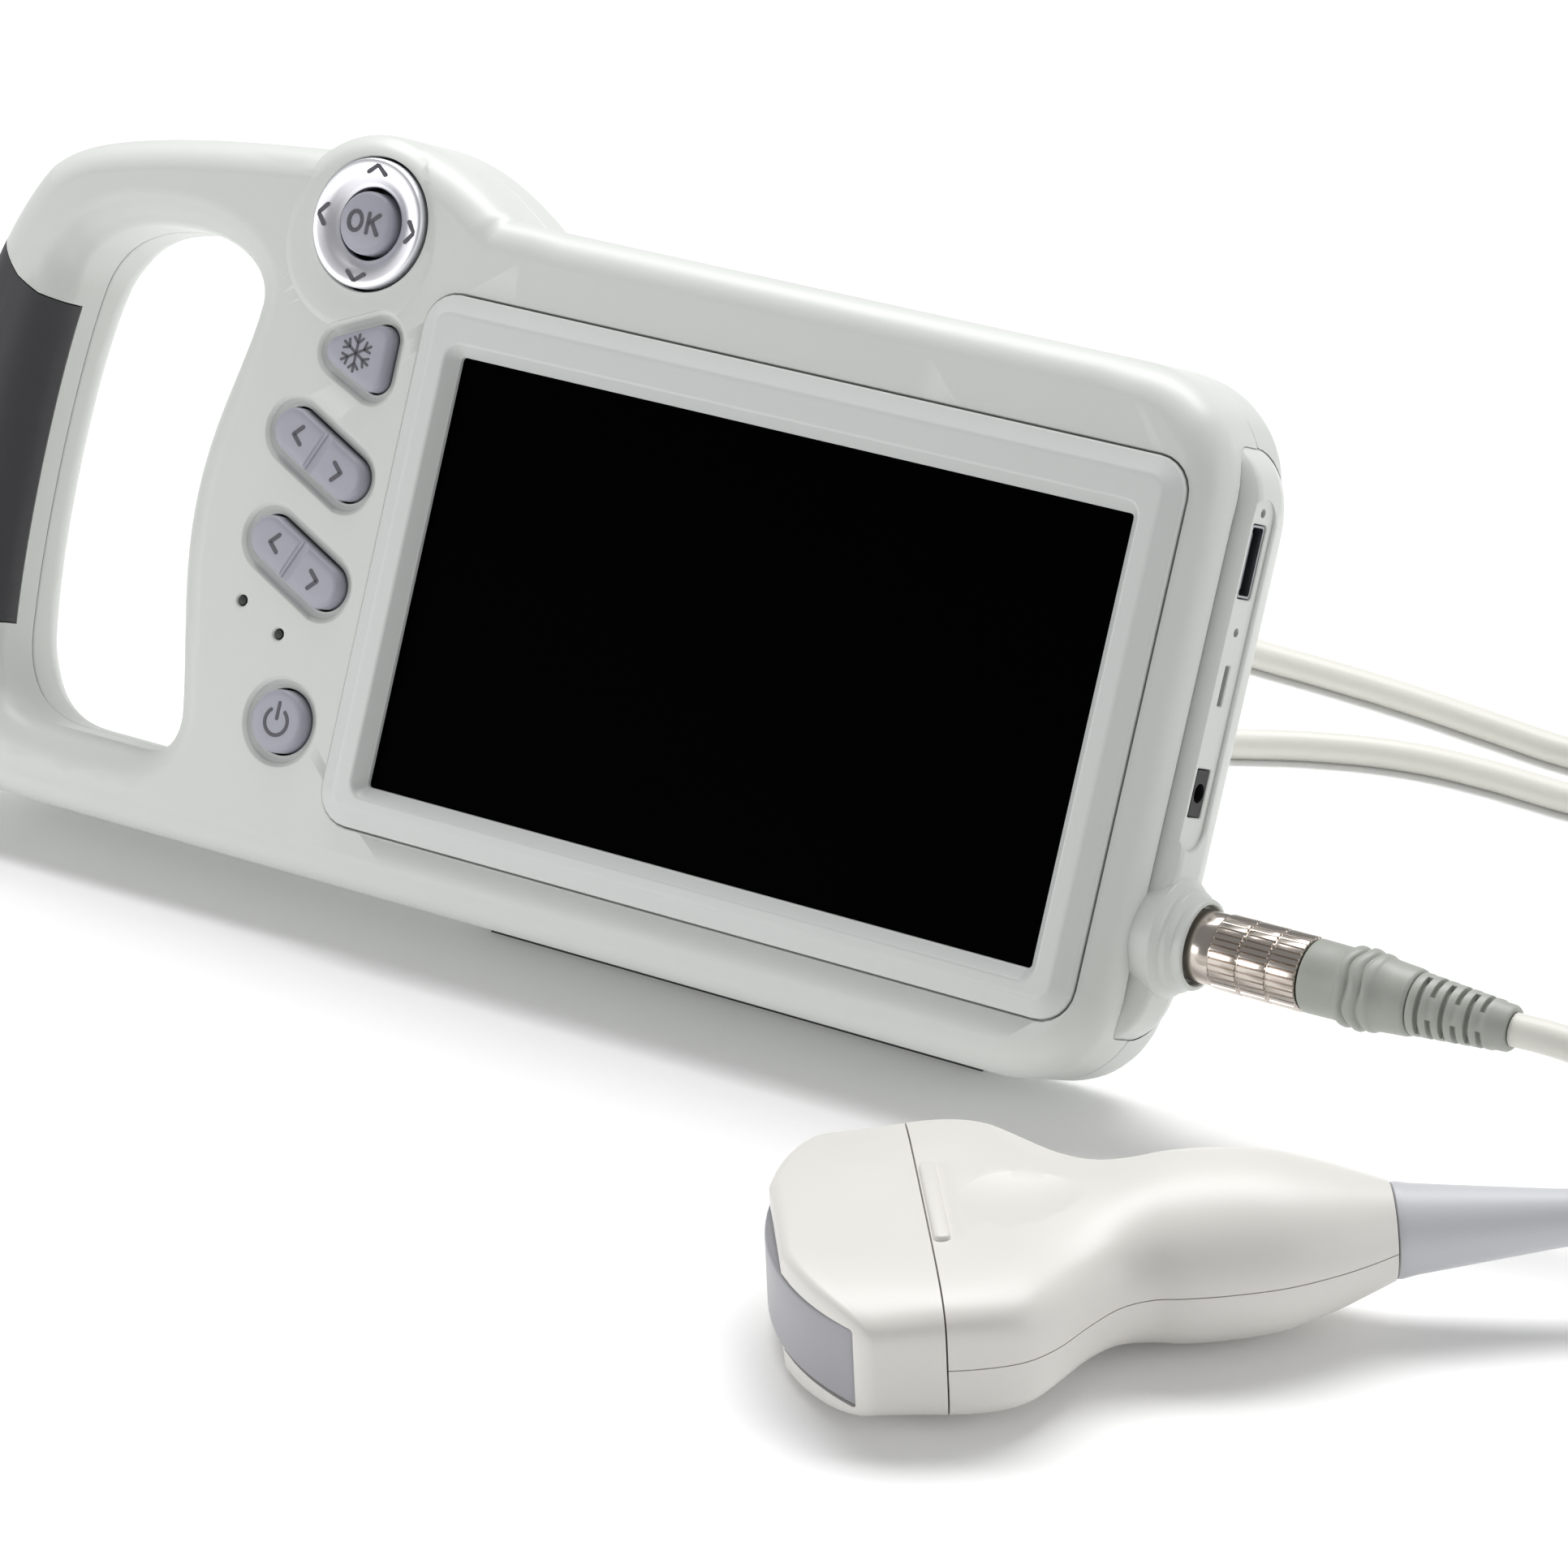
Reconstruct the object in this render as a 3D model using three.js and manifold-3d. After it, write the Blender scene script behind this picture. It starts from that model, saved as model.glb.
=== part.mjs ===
// Handheld veterinary ultrasound scanner: leaned console with grip handle, convex probe, cable.
// Millimetres, +Z up. Console sizes are given in its own face frame: x along the screen,
// y up the face, z out of the glass, zero in the middle of the active screen area.
import * as THREE from 'three';
import { ParametricGeometry } from 'three/addons/geometries/ParametricGeometry.js';
import { mergeVertices } from 'three/addons/utils/BufferGeometryUtils.js';
import ManifoldModule from 'manifold-3d';

// overall console
const screenWidth = 154.1;
const screenHeight = 86.7;
const bezelSide = 10.2;
const bezelAbove = 12;
const bezelBelow = 9;
const sideMargin = 6.6;
const topMargin = 16.6;
const bottomMargin = 12.7;
const bodyDepth = 31.5;
const faceLevel = 0.5;
const frontCaseDepth = 17.5;
const edgeRound = 7.4;
const wall = 2.6;
const clearance = 0.3;
const leanAngle = 23.3;

// handle
const handleReach = 117;
const barWidth = 23.5;
const handSpace = 49;
const gripThickness = 1.6;
const gripWrap = 11;

// keys
const keyTravel = 0.8;
const keyRise = 0.6;
const wellDepth = 1.1;
const wellMargin = 1.9;
const dialRadius = 13.1;
const okRadius = 6.4;
const powerRadius = 6.4;
const rockerRadius = 4.6;
const rockerSpan = 16;
const rockerTilt = -25.4;
const freezeReach = 8.2;

// rear stand
const standWidth = 62;
const standThickness = 4;
const standLength = 86;
const standPinRadius = 1.5;
const standAxisDepth = 2.5;
const footWrap = 1;
const footTip = 2.2;
const legClear = 2.2;

// connector and cable
const plugDrop = 32.3;
const plugDepth = 16;
const sleeveRadius = 7.25;
const cableDiameter = 6.5;
const coilRadius = 36;

// probe
const headWidth = 78;
const headRadius = 60;
const headHeight = 24.8;
const gripWidth = 40;
const gripHeight = 32;
const probeLength = 97;
const noseLength = 14;
const lensHeight = 14;
const probeHeading = 38;
const probeX = 95.5;
const probeY = -107;
const probeTilt = 2.5;

const bezelLeft = -(screenWidth / 2 + bezelSide);
const bezelRight = screenWidth / 2 + bezelSide;
const bezelTop = screenHeight / 2 + bezelAbove;
const bezelBottom = -(screenHeight / 2 + bezelBelow);
const bodyRight = bezelRight + sideMargin;
const bodyTop = bezelTop + topMargin;
const bodyBottom = bezelBottom - bottomMargin;
const backLevel = faceLevel - bodyDepth;
const partingLevel = faceLevel - frontCaseDepth;
const handleLeft = bezelLeft - handleReach;
const dialX = bezelLeft - 18;
const dialY = bezelTop + 9.85;
const powerY = bodyBottom + 29.5;
const keyRun = dialY - powerY;

const wasm = await ManifoldModule();
wasm.setup();

function weld(geometry) {
  const bare = new THREE.BufferGeometry();
  bare.setAttribute('position', geometry.getAttribute('position').clone());
  if (geometry.index) bare.setIndex(geometry.index.clone());
  return mergeVertices(bare, 1e-4);
}

// closed solid from any closed three.js geometry, outward facing
function solid(geometry) {
  const welded = weld(geometry);
  const place = welded.getAttribute('position');
  const index = welded.index.array;
  const keep = [];
  let volume = 0;
  const a = new THREE.Vector3();
  const b = new THREE.Vector3();
  const c = new THREE.Vector3();
  for (let i = 0; i < index.length; i += 3) {
    const [p, q, r] = [index[i], index[i + 1], index[i + 2]];
    if (p === q || q === r || p === r) continue;
    keep.push(p, q, r);
    a.fromBufferAttribute(place, p);
    b.fromBufferAttribute(place, q);
    c.fromBufferAttribute(place, r);
    volume += a.dot(b.cross(c));
  }
  if (volume < 0) keep.reverse();
  const mesh = new wasm.Mesh({
    numProp: 3,
    vertProperties: new Float32Array(place.array),
    triVerts: new Uint32Array(keep),
  });
  mesh.merge();
  return new wasm.Manifold(mesh);
}

function toGeometry(body) {
  const mesh = body.getMesh();
  const geometry = new THREE.BufferGeometry();
  const size = mesh.numProp;
  const points = new Float32Array((mesh.vertProperties.length / size) * 3);
  for (let i = 0; i < points.length / 3; i += 1) {
    for (let k = 0; k < 3; k += 1) points[i * 3 + k] = mesh.vertProperties[i * size + k];
  }
  geometry.setAttribute('position', new THREE.BufferAttribute(points, 3));
  geometry.setIndex(new THREE.BufferAttribute(new Uint32Array(mesh.triVerts), 1));
  return geometry;
}

// prism of a flat shape between two levels; round softens both rims, grow widens the outline
function prism(shape, bottom, top, round = 0, grow = 0, steps = 3, curve = 8) {
  const bevel = round > 0 || grow !== 0;
  const thick = round > 0 ? round : 0;
  const geometry = new THREE.ExtrudeGeometry(shape, {
    depth: top - bottom - 2 * thick,
    bevelEnabled: bevel,
    bevelThickness: thick,
    bevelSize: round,
    bevelOffset: grow - round,
    bevelSegments: round > 0 ? steps : 1,
    curveSegments: curve,
  });
  geometry.translate(0, 0, bottom + thick);
  return solid(geometry);
}

function box(x0, x1, y0, y1, z0, z1) {
  const geometry = new THREE.BoxGeometry(x1 - x0, y1 - y0, z1 - z0);
  geometry.translate((x0 + x1) / 2, (y0 + y1) / 2, (z0 + z1) / 2);
  return solid(geometry);
}

function roundRect(x0, x1, y0, y1, radius) {
  const shape = new THREE.Shape();
  shape.moveTo(x0 + radius, y0);
  shape.lineTo(x1 - radius, y0);
  shape.absarc(x1 - radius, y0 + radius, radius, -Math.PI / 2, 0);
  shape.lineTo(x1, y1 - radius);
  shape.absarc(x1 - radius, y1 - radius, radius, 0, Math.PI / 2);
  shape.lineTo(x0 + radius, y1);
  shape.absarc(x0 + radius, y1 - radius, radius, Math.PI / 2, Math.PI);
  shape.lineTo(x0, y0 + radius);
  shape.absarc(x0 + radius, y0 + radius, radius, Math.PI, 1.5 * Math.PI);
  return shape;
}

function disc(x, y, radius) {
  const shape = new THREE.Shape();
  shape.absarc(x, y, radius, 0, 2 * Math.PI);
  return shape;
}

// turned piece about z: pairs of radius and level
function turned(pairs, sides = 28) {
  const points = pairs.map(([radius, level]) => new THREE.Vector2(radius, level));
  const geometry = new THREE.LatheGeometry(points, sides);
  geometry.rotateX(Math.PI / 2);
  return solid(geometry);
}

// turned piece about the plug axis: pairs of radius and x
function alongPlug(pairs, sides = 28) {
  const points = pairs.map(([radius, x]) => new THREE.Vector2(radius, x));
  const geometry = new THREE.LatheGeometry(points, sides);
  geometry.rotateZ(-Math.PI / 2);
  geometry.translate(0, -plugDrop, -plugDepth);
  return solid(geometry);
}

// outline of the console with its dial boss, without the hand opening
function consoleShape() {
  const shape = new THREE.Shape();
  const bossX = dialX - 1.7;
  const bossY = dialY - 3.7;
  const bossRadius = 22;
  const left = handleLeft;
  shape.moveTo(left + 39, bodyBottom);
  shape.lineTo(bodyRight - 22, bodyBottom);
  shape.bezierCurveTo(bodyRight - 9, bodyBottom, bodyRight, bodyBottom + 8, bodyRight, bodyBottom + 22);
  shape.lineTo(bodyRight, bodyTop - 24);
  shape.bezierCurveTo(bodyRight, bodyTop - 10, bodyRight - 10, bodyTop, bodyRight - 24, bodyTop);
  shape.lineTo(dialX + 33.5, bodyTop);
  shape.bezierCurveTo(dialX + 22, bossY + 18, dialX + 10, bossY + bossRadius, bossX, bossY + bossRadius);
  shape.absarc(bossX, bossY, bossRadius, Math.PI / 2, 0.722 * Math.PI, false);
  shape.bezierCurveTo(left + 44, bodyTop + 3, left + 22, bodyTop - 1.5, left + 14, bodyTop - 8.5);
  shape.bezierCurveTo(left + 4, bodyTop - 20, left, bodyTop - 42, left, bodyTop - 67);
  shape.bezierCurveTo(left, bodyBottom + 34, left + 4, bodyBottom, left + 39, bodyBottom);
  return shape;
}

// the hand opening through the handle
function windowPath() {
  const path = new THREE.Path();
  const left = handleLeft + barWidth;
  const right = bezelLeft - handSpace;
  const top = bodyTop - 15.6;
  const bottom = bodyBottom + 2 * edgeRound + 1.6;
  const middle = (top + bottom) / 2;
  path.moveTo(left + 21, bottom);
  path.lineTo(right - 1, bottom);
  path.bezierCurveTo(right + 5, bottom, right + 8.8, bottom + 3, right + 8, bottom + 9);
  path.bezierCurveTo(right + 5.5, bottom + 23, right, middle - 16, right, middle + 1);
  path.bezierCurveTo(right, middle + 18, right + 5, top - 24, right + 5.8, top - 11.5);
  path.bezierCurveTo(right + 6, top - 5, right - 3, top, right - 14, top);
  path.bezierCurveTo(left + 15, top, left + 5, top - 4, left + 2.3, top - 15);
  path.bezierCurveTo(left - 0.8, top - 31, left - 0.8, bottom + 38, left + 2.3, bottom + 16);
  path.bezierCurveTo(left + 4, bottom + 5, left + 11, bottom, left + 21, bottom);
  return path;
}

const outline = consoleShape();
outline.holes.push(windowPath());

function consoleBody(inset, steps = 2) {
  return prism(outline, backLevel + inset, faceLevel - inset, edgeRound - inset, -inset, steps, 6);
}

// end panel on the right: outline in x and y, with softened front and rear rims
function capShape(grow) {
  const shape = new THREE.Shape();
  const x = bodyRight;
  const top = bodyTop - 11.5 + grow;
  const bottom = bodyBottom + 11 - grow;
  shape.moveTo(x - 14, bottom);
  shape.lineTo(x - 3.6, bottom);
  shape.bezierCurveTo(x + 2 + grow, bottom + 3, x + 3.4 + grow, bottom + 7, x + 3.6 + grow, bottom + 13);
  shape.lineTo(x + 3.6 + grow, top - 13);
  shape.bezierCurveTo(x + 3.4 + grow, top - 8, x + 2 + grow, top - 3.5, x - 3.6, top);
  shape.lineTo(x - 14, top);
  return shape;
}
const capFront = faceLevel - 7.7;
const capBack = backLevel + 3;

const outerBody = consoleBody(0);
const innerBody = consoleBody(wall, 1);

const far = 400;
const frontHalf = box(-far, far, -far, far, partingLevel + clearance / 2, far);
const rearHalf = box(-far, far, -far, far, -far, partingLevel - clearance / 2);

// keys: outlines first, so wells, holes and keys share them
function capsule(x, y, half, radius, angle) {
  const shape = new THREE.Shape();
  const turn = (angle * Math.PI) / 180;
  const dx = half * Math.cos(turn);
  const dy = half * Math.sin(turn);
  shape.absarc(x + dx, y + dy, radius, turn - Math.PI / 2, turn + Math.PI / 2);
  shape.absarc(x - dx, y - dy, radius, turn + Math.PI / 2, turn + 1.5 * Math.PI);
  return shape;
}

// rounded triangle with its tip to the left
function triangleKey(x, y, reach, round) {
  const shape = new THREE.Shape();
  const half = reach * 0.82 - round;
  const tip = reach - round;
  const slope = Math.atan2(half, tip + tip * 0.72);
  shape.absarc(x + tip * 0.72, y + half, round, 0, Math.PI / 2 + slope);
  shape.absarc(x - tip, y, round, Math.PI / 2 + slope, 1.5 * Math.PI - slope);
  shape.absarc(x + tip * 0.72, y - half, round, 1.5 * Math.PI - slope, 2 * Math.PI);
  return shape;
}

const keyColumn = dialX;
const freezeX = keyColumn + 4.6;
const freezeY = dialY - 0.257 * keyRun;
const rockerUpperY = dialY - 0.466 * keyRun;
const rockerLowerY = dialY - 0.685 * keyRun;
const ledHighX = keyColumn - 11.2;
const ledHighY = dialY - 0.786 * keyRun;
const ledLowX = keyColumn - 0.8;
const ledLowY = dialY - 0.833 * keyRun;
const powerX = keyColumn + 4.2;

const keys = [
  {
    name: 'freeze_button',
    outline: (grow) => triangleKey(freezeX, freezeY, freezeReach + grow, 3 + grow),
  },
  {
    name: 'rocker_upper',
    outline: (grow) => capsule(keyColumn, rockerUpperY, rockerSpan / 2, rockerRadius + grow, rockerTilt),
  },
  {
    name: 'rocker_lower',
    outline: (grow) => capsule(keyColumn, rockerLowerY, rockerSpan / 2, rockerRadius + grow, rockerTilt),
  },
  { name: 'power_button', outline: (grow) => disc(powerX, powerY, powerRadius + grow) },
];

const keyTop = faceLevel + keyRise;
const keyFoot = faceLevel - wall - 2;
const group = new THREE.Group();
const lean = new THREE.Matrix4();
const sinLean = Math.sin((leanAngle * Math.PI) / 180);
const cosLean = Math.cos((leanAngle * Math.PI) / 180);
const footProud = 2.5;
const lowY = bodyBottom + edgeRound;
const lowZ = backLevel + edgeRound;
const floorDrop = lowY * cosLean + lowZ * sinLean - edgeRound - footProud;
const footShift = lowY * sinLean - lowZ * cosLean;
lean.makeRotationX(Math.PI / 2 - (leanAngle * Math.PI) / 180);
lean.setPosition(0, -footShift, -floorDrop);

function paint(name, color, roughness, metalness = 0) {
  const material = new THREE.MeshStandardMaterial({ color, roughness, metalness });
  material.name = name;
  return material;
}
const shellPlastic = paint('shell_plastic', 0xd9dbd8, 0.42);
const bezelPlastic = paint('bezel_plastic', 0xd2d4d1, 0.4);
const screenGlass = paint('screen_glass', 0x050506, 0.12);
const gripRubber = paint('grip_rubber', 0x47464b, 0.75);
const keyPlastic = paint('key_plastic', 0xa9a9b5, 0.45);
const satinMetal = paint('satin_metal', 0xc9cacd, 0.3, 1);
const nickel = paint('nickel_plate', 0xb9b3ab, 0.22, 1);
const blackPlastic = paint('black_plastic', 0x1b1b1d, 0.5);
const boardLaminate = paint('board_laminate', 0x24563a, 0.6);
const batteryWrap = paint('battery_wrap', 0x35393f, 0.5);
const greyMould = paint('grey_mould', 0xb1b4ae, 0.5);
const bootRubber = paint('boot_rubber', 0x8f9095, 0.55);
const cableJacket = paint('cable_jacket', 0xdcdbd5, 0.5);
const probePlastic = paint('probe_plastic', 0xe5e3df, 0.38);
const lensSilicone = paint('lens_silicone', 0x9a9a9e, 0.4);
const steel = paint('steel', 0x8d8f92, 0.35, 1);
const rubber = paint('foot_rubber', 0x2b2b2d, 0.85);

function add(name, body, material, matrix = lean) {
  const geometry = toGeometry(body);
  if (matrix) geometry.applyMatrix4(matrix);
  const mesh = new THREE.Mesh(geometry, material);
  mesh.name = name;
  group.add(mesh);
  return mesh;
}

// ---- console cases
const capCut = prism(capShape(clearance), capBack - clearance, capFront + clearance, 0)
  .add(box(bodyRight - wall - 3, bodyRight - 3, bodyBottom + 16, bodyTop - 17, capBack + 1, capFront - 1))
  .add(alongPlug([[0, bodyRight - 2.3], [11.9, bodyRight - 2.3], [11.9, far], [0, far]], 20));

const lcdLeft = -screenWidth / 2 - 5.4;
const lcdRight = screenWidth / 2 + 5.4;
const lcdTop = screenHeight / 2 + 8.6;
const lcdBottom = -screenHeight / 2 - 4.6;

const bezelOuter = (grow) => roundRect(bezelLeft - grow, bezelRight + grow,
  bezelBottom - grow, bezelTop + grow, 7 + grow);
const bezelSeat = prism(bezelOuter(clearance), faceLevel - 1.5, far);
const screenOpening = prism(
  roundRect(lcdLeft - 0.5, lcdRight + 0.5, lcdBottom - 0.5, lcdTop + 0.5, 1.5), partingLevel, far);

const screwSpots = [
  [bezelRight - 6, bodyTop - 9.6], [bezelRight - 6, bodyBottom + 7.4],
  [bezelLeft + 6, bodyTop - 9.6], [bezelLeft + 6, bodyBottom + 7.4],
];
let frontCase = outerBody.intersect(frontHalf).subtract(innerBody);
for (const [x, y] of screwSpots) {
  const post = prism(disc(x, y, 3.4), partingLevel + 0.5, faceLevel - wall + 0.5, 0, 0, 1, 6);
  frontCase = frontCase.add(post);
}
// raised plateau round the dial
frontCase = frontCase.add(turned([[0, faceLevel - 1], [17.4, faceLevel - 1], [17.4, faceLevel + 0.4],
  [16.6, faceLevel + 1], [0, faceLevel + 1]], 28).translate(dialX, dialY, 0));
frontCase = frontCase.subtract(bezelSeat).subtract(screenOpening).subtract(capCut);
for (const key of keys) {
  frontCase = frontCase
    .subtract(prism(key.outline(wellMargin), faceLevel - wellDepth, far, 0, 0, 1, 4))
    .subtract(prism(key.outline(clearance + 0.1), partingLevel, far, 0, 0, 1, 4));
}
frontCase = frontCase.subtract(prism(disc(dialX, dialY, dialRadius + 0.5), partingLevel, far, 0, 0, 1, 12));
for (const [x, y] of [[ledHighX, ledHighY], [ledLowX, ledLowY]]) {
  frontCase = frontCase.subtract(prism(disc(x, y, 1.2), partingLevel, far, 0, 0, 1, 4));
}

// rear case with the pocket that takes the folded stand
const standTop = bodyTop - 44;
const standFoot = standTop - standLength;
const pocketDepth = standAxisDepth + standThickness / 2 + footWrap + 0.5;
const pocketFloor = backLevel + pocketDepth;
const pocketHalf = standWidth / 2 + 0.6;
const standX = -8;
const pinLevel = backLevel + standAxisDepth;
const pocketLow = standFoot - footTip - 1.2;
let rearCase = outerBody.intersect(rearHalf).subtract(innerBody);
const pocketWalls = box(standX - pocketHalf - wall, standX + pocketHalf + wall,
  pocketLow - wall, standTop + 4 + wall, backLevel, pocketFloor + wall - 0.6);
rearCase = rearCase.add(pocketWalls.intersect(outerBody));
rearCase = rearCase.subtract(box(standX - pocketHalf, standX + pocketHalf,
  pocketLow, standTop + 4, backLevel - 5, pocketFloor));
const pinReach = wall - 0.8;
for (const side of [-1, 1]) {
  const bore = new THREE.CylinderGeometry(standPinRadius + 0.15, standPinRadius + 0.15, 2 * pinReach, 12);
  bore.rotateZ(Math.PI / 2);
  bore.translate(standX + side * pocketHalf, standTop, pinLevel);
  rearCase = rearCase.subtract(solid(bore));
}
rearCase = rearCase.subtract(capCut);
for (const [x, y] of screwSpots) {
  rearCase = rearCase
    .add(prism(disc(x, y, 4.4), backLevel + 1, partingLevel - clearance / 2, 0, 0, 1, 6).intersect(outerBody))
    .subtract(prism(disc(x, y, 3), backLevel - 5, backLevel + 5.6, 0, 0, 1, 6))
    .subtract(prism(disc(x, y, 1.7), backLevel, partingLevel + 1, 0, 0, 1, 5));
  frontCase = frontCase.subtract(prism(disc(x, y, 1.6), partingLevel - 1, partingLevel + 9, 0, 0, 1, 5));
}

// soft pad let into the front of the grip bar
function padShape(grow) {
  const shape = new THREE.Shape();
  const left = handleLeft - 6;
  const right = handleLeft + barWidth + 6;
  const top = bodyTop - 26 + grow;
  const bottom = bodyBottom + 31 - grow;
  shape.moveTo(left, bottom - 6);
  shape.lineTo(right, bottom);
  shape.lineTo(right, top - 9);
  shape.lineTo(handleLeft + barWidth - 8, top - 7);
  shape.lineTo(handleLeft + 5, top + 2);
  shape.lineTo(left, top + 4);
  return shape;
}
const padBack = faceLevel - gripWrap;
const gripPad = outerBody.subtract(consoleBody(gripThickness))
  .intersect(prism(padShape(0), padBack, far))
  .intersect(box(-far, handleLeft + barWidth + 5, -far, far, -far, far));
frontCase = frontCase.subtract(consoleBody(-clearance).subtract(consoleBody(gripThickness + clearance))
  .intersect(prism(padShape(clearance), padBack - clearance, far)));

add('front_case', frontCase, shellPlastic);
add('rear_case', rearCase, shellPlastic);
add('grip_pad', gripPad, gripRubber);

// ---- screen
const glassTop = 0;
const bezelRise = 2.6;
const bezelSection = prism(bezelOuter(0), faceLevel - 1.2, faceLevel + bezelRise, 2.4, 0, 2, 4);
const activeOpening = (grow, round) => roundRect(-screenWidth / 2 - grow, screenWidth / 2 + grow,
  -screenHeight / 2 - grow, screenHeight / 2 + grow, round);
const innerSlope = prism(activeOpening(2.4, 3.3), glassTop, faceLevel + bezelRise + 4.8, 2.4, 0, 1, 3)
  .add(prism(activeOpening(0.2, 0.8), -far, far, 0, 0, 1, 2));
let bezel = bezelSection.intersect(box(-far, far, -far, far, faceLevel - 1.2, far));
bezel = bezel.subtract(innerSlope);
add('screen_bezel', bezel, bezelPlastic);
add('screen_window', prism(roundRect(lcdLeft, lcdRight, lcdBottom, lcdTop, 1.2),
  faceLevel - 2.9, faceLevel - 1.5, 0, 0, 1, 2), screenGlass);
add('lcd_panel', box(lcdLeft, lcdRight, lcdBottom, lcdTop, faceLevel - 8.4, faceLevel - 3.2), blackPlastic);

// ---- keys
for (const key of keys) {
  const crown = prism(key.outline(0), keyFoot + 1, keyTop, 0.7, 0, 1, 4);
  const trimmed = crown.intersect(box(-far, far, -far, far, keyFoot + 1.8, far));
  const flange = prism(key.outline(0.9), keyFoot, keyFoot + 1.2, 0, 0, 1, 4);
  const stem = prism(key.outline(-0.6), keyFoot + 1, keyFoot + 3, 0, 0, 1, 4);
  let piece = trimmed.add(flange).add(stem);
  if (key.name.startsWith('rocker')) {
    const y = key.name === 'rocker_upper' ? rockerUpperY : rockerLowerY;
    const groove = new THREE.BoxGeometry(1.1, 3 * rockerRadius, 1);
    groove.rotateZ((rockerTilt * Math.PI) / 180);
    groove.translate(keyColumn, y, keyTop + 0.1);
    piece = piece.subtract(solid(groove));
  }
  add(key.name, piece, keyPlastic);
}
const dialTop = faceLevel + 2;
add('nav_ring', turned([[7.4, faceLevel - 1.4], [dialRadius, faceLevel - 1.4], [dialRadius, dialTop - 0.4],
  [dialRadius - 0.5, dialTop], [dialRadius - 1.4, dialTop], [10.6, dialTop - 0.7], [8.7, dialTop - 1.5],
  [7.4, dialTop - 1.7], [7.4, faceLevel - 1.4]], 28).translate(dialX, dialY, 0), satinMetal);
add('nav_gimbal', turned([[7.8, faceLevel - 3.6], [12, faceLevel - 3.6], [12, faceLevel - 2.4],
  [7.8, faceLevel - 2.4], [7.8, faceLevel - 3.6]], 24).translate(dialX, dialY, 0), blackPlastic);
add('ok_button', turned([[0, keyFoot - 1.6], [okRadius + 0.6, keyFoot - 1.6], [okRadius + 0.6, keyFoot - 0.6],
  [okRadius, keyFoot - 0.6], [okRadius, faceLevel + 1.6], [okRadius - 0.6, faceLevel + 2.2],
  [okRadius * 0.6, faceLevel + 2.6], [0, faceLevel + 2.75]], 20).translate(dialX, dialY, 0), keyPlastic);
for (const [name, x, y] of [['led_charge', ledHighX, ledHighY], ['led_power', ledLowX, ledLowY]]) {
  add(name, turned([[0, keyFoot - 2], [0.9, keyFoot - 2], [0.9, faceLevel - 0.3], [0, faceLevel - 0.2]], 12)
    .translate(x, y, 0), blackPlastic);
}
const matTop = keyFoot - 1.6 - keyTravel - 0.3;
const padLeft = keyColumn - 13.6;
const padRight = bezelLeft + 2;
add('key_mat', prism(roundRect(padLeft, padRight, powerY - 9, dialY + 9, 3), matTop - 1.4, matTop, 0, 0, 1, 3)
  .subtract(prism(disc(ledHighX, ledHighY, 1.6), -far, far, 0, 0, 1, 3))
  .subtract(prism(disc(ledLowX, ledLowY, 1.6), -far, far, 0, 0, 1, 3)), rubber);
add('key_board', prism(roundRect(padLeft, padRight, powerY - 9, dialY + 9, 1),
  matTop - 3.3, matTop - 1.7, 0, 0, 1, 2), boardLaminate);

// ---- electronics
const boardTop = faceLevel - 10.4;
let mainBoard = box(lcdLeft + 4, lcdRight - 4, lcdBottom + 6, lcdTop - 2, boardTop - 1.6, boardTop);
const chips = [[-50, 18, 9, 1.4], [-18, 18, 7, 1.6], [22, 22, 6, 1.2], [-44, -16, 6, 1.2]];
for (const [x, y, half, tall] of chips) {
  mainBoard = mainBoard.add(box(x - half, x + half, y - half, y + half, boardTop - 0.5, boardTop + tall));
}
add('main_board', mainBoard, boardLaminate);
const packFloor = pocketFloor + wall;
add('battery_pack', prism(roundRect(standX - 42, standX + 42, -22, 40, 3),
  packFloor, boardTop - 2.2, 1.2, 0, 1, 3), batteryWrap);

// ---- end panel, ports and socket
const capCentre = -13;
let endCap = prism(capShape(0), capBack, capFront, 3.6, 0, 2, 4);
endCap = endCap.intersect(box(bodyRight - 3.6, far, -far, far, -far, far));
const bossFace = bodyRight + 9.4;
endCap = endCap.add(alongPlug([[0, bodyRight - 2], [11.3, bodyRight - 2], [11.3, bodyRight + 4],
  [10.6, bodyRight + 4.9], [10, bodyRight + 5], [10, bodyRight + 6.4], [9.4, bodyRight + 7.1],
  [8.9, bodyRight + 7.2], [8.9, bossFace - 0.6], [8.3, bossFace], [0, bossFace]], 20));
endCap = endCap.subtract(alongPlug([[0, bodyRight - 9], [6.9, bodyRight - 9],
  [6.9, bossFace - 2.2],
  [sleeveRadius + 0.5, bossFace - 2.2], [sleeveRadius + 0.5, bossFace + 3], [0, bossFace + 3]], 20));

// port strip: shallow slot with rounded ends
const stripTop = bodyTop - 20.4;
const stripBottom = bodyBottom + 49.2;
function sidePrism(shape, x0, x1) {
  const settings = { depth: x1 - x0, bevelEnabled: false, curveSegments: 4 };
  const geometry = new THREE.ExtrudeGeometry(shape, settings);
  geometry.rotateY(Math.PI / 2);
  geometry.translate(x0, 0, 0);
  return solid(geometry);
}
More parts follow.
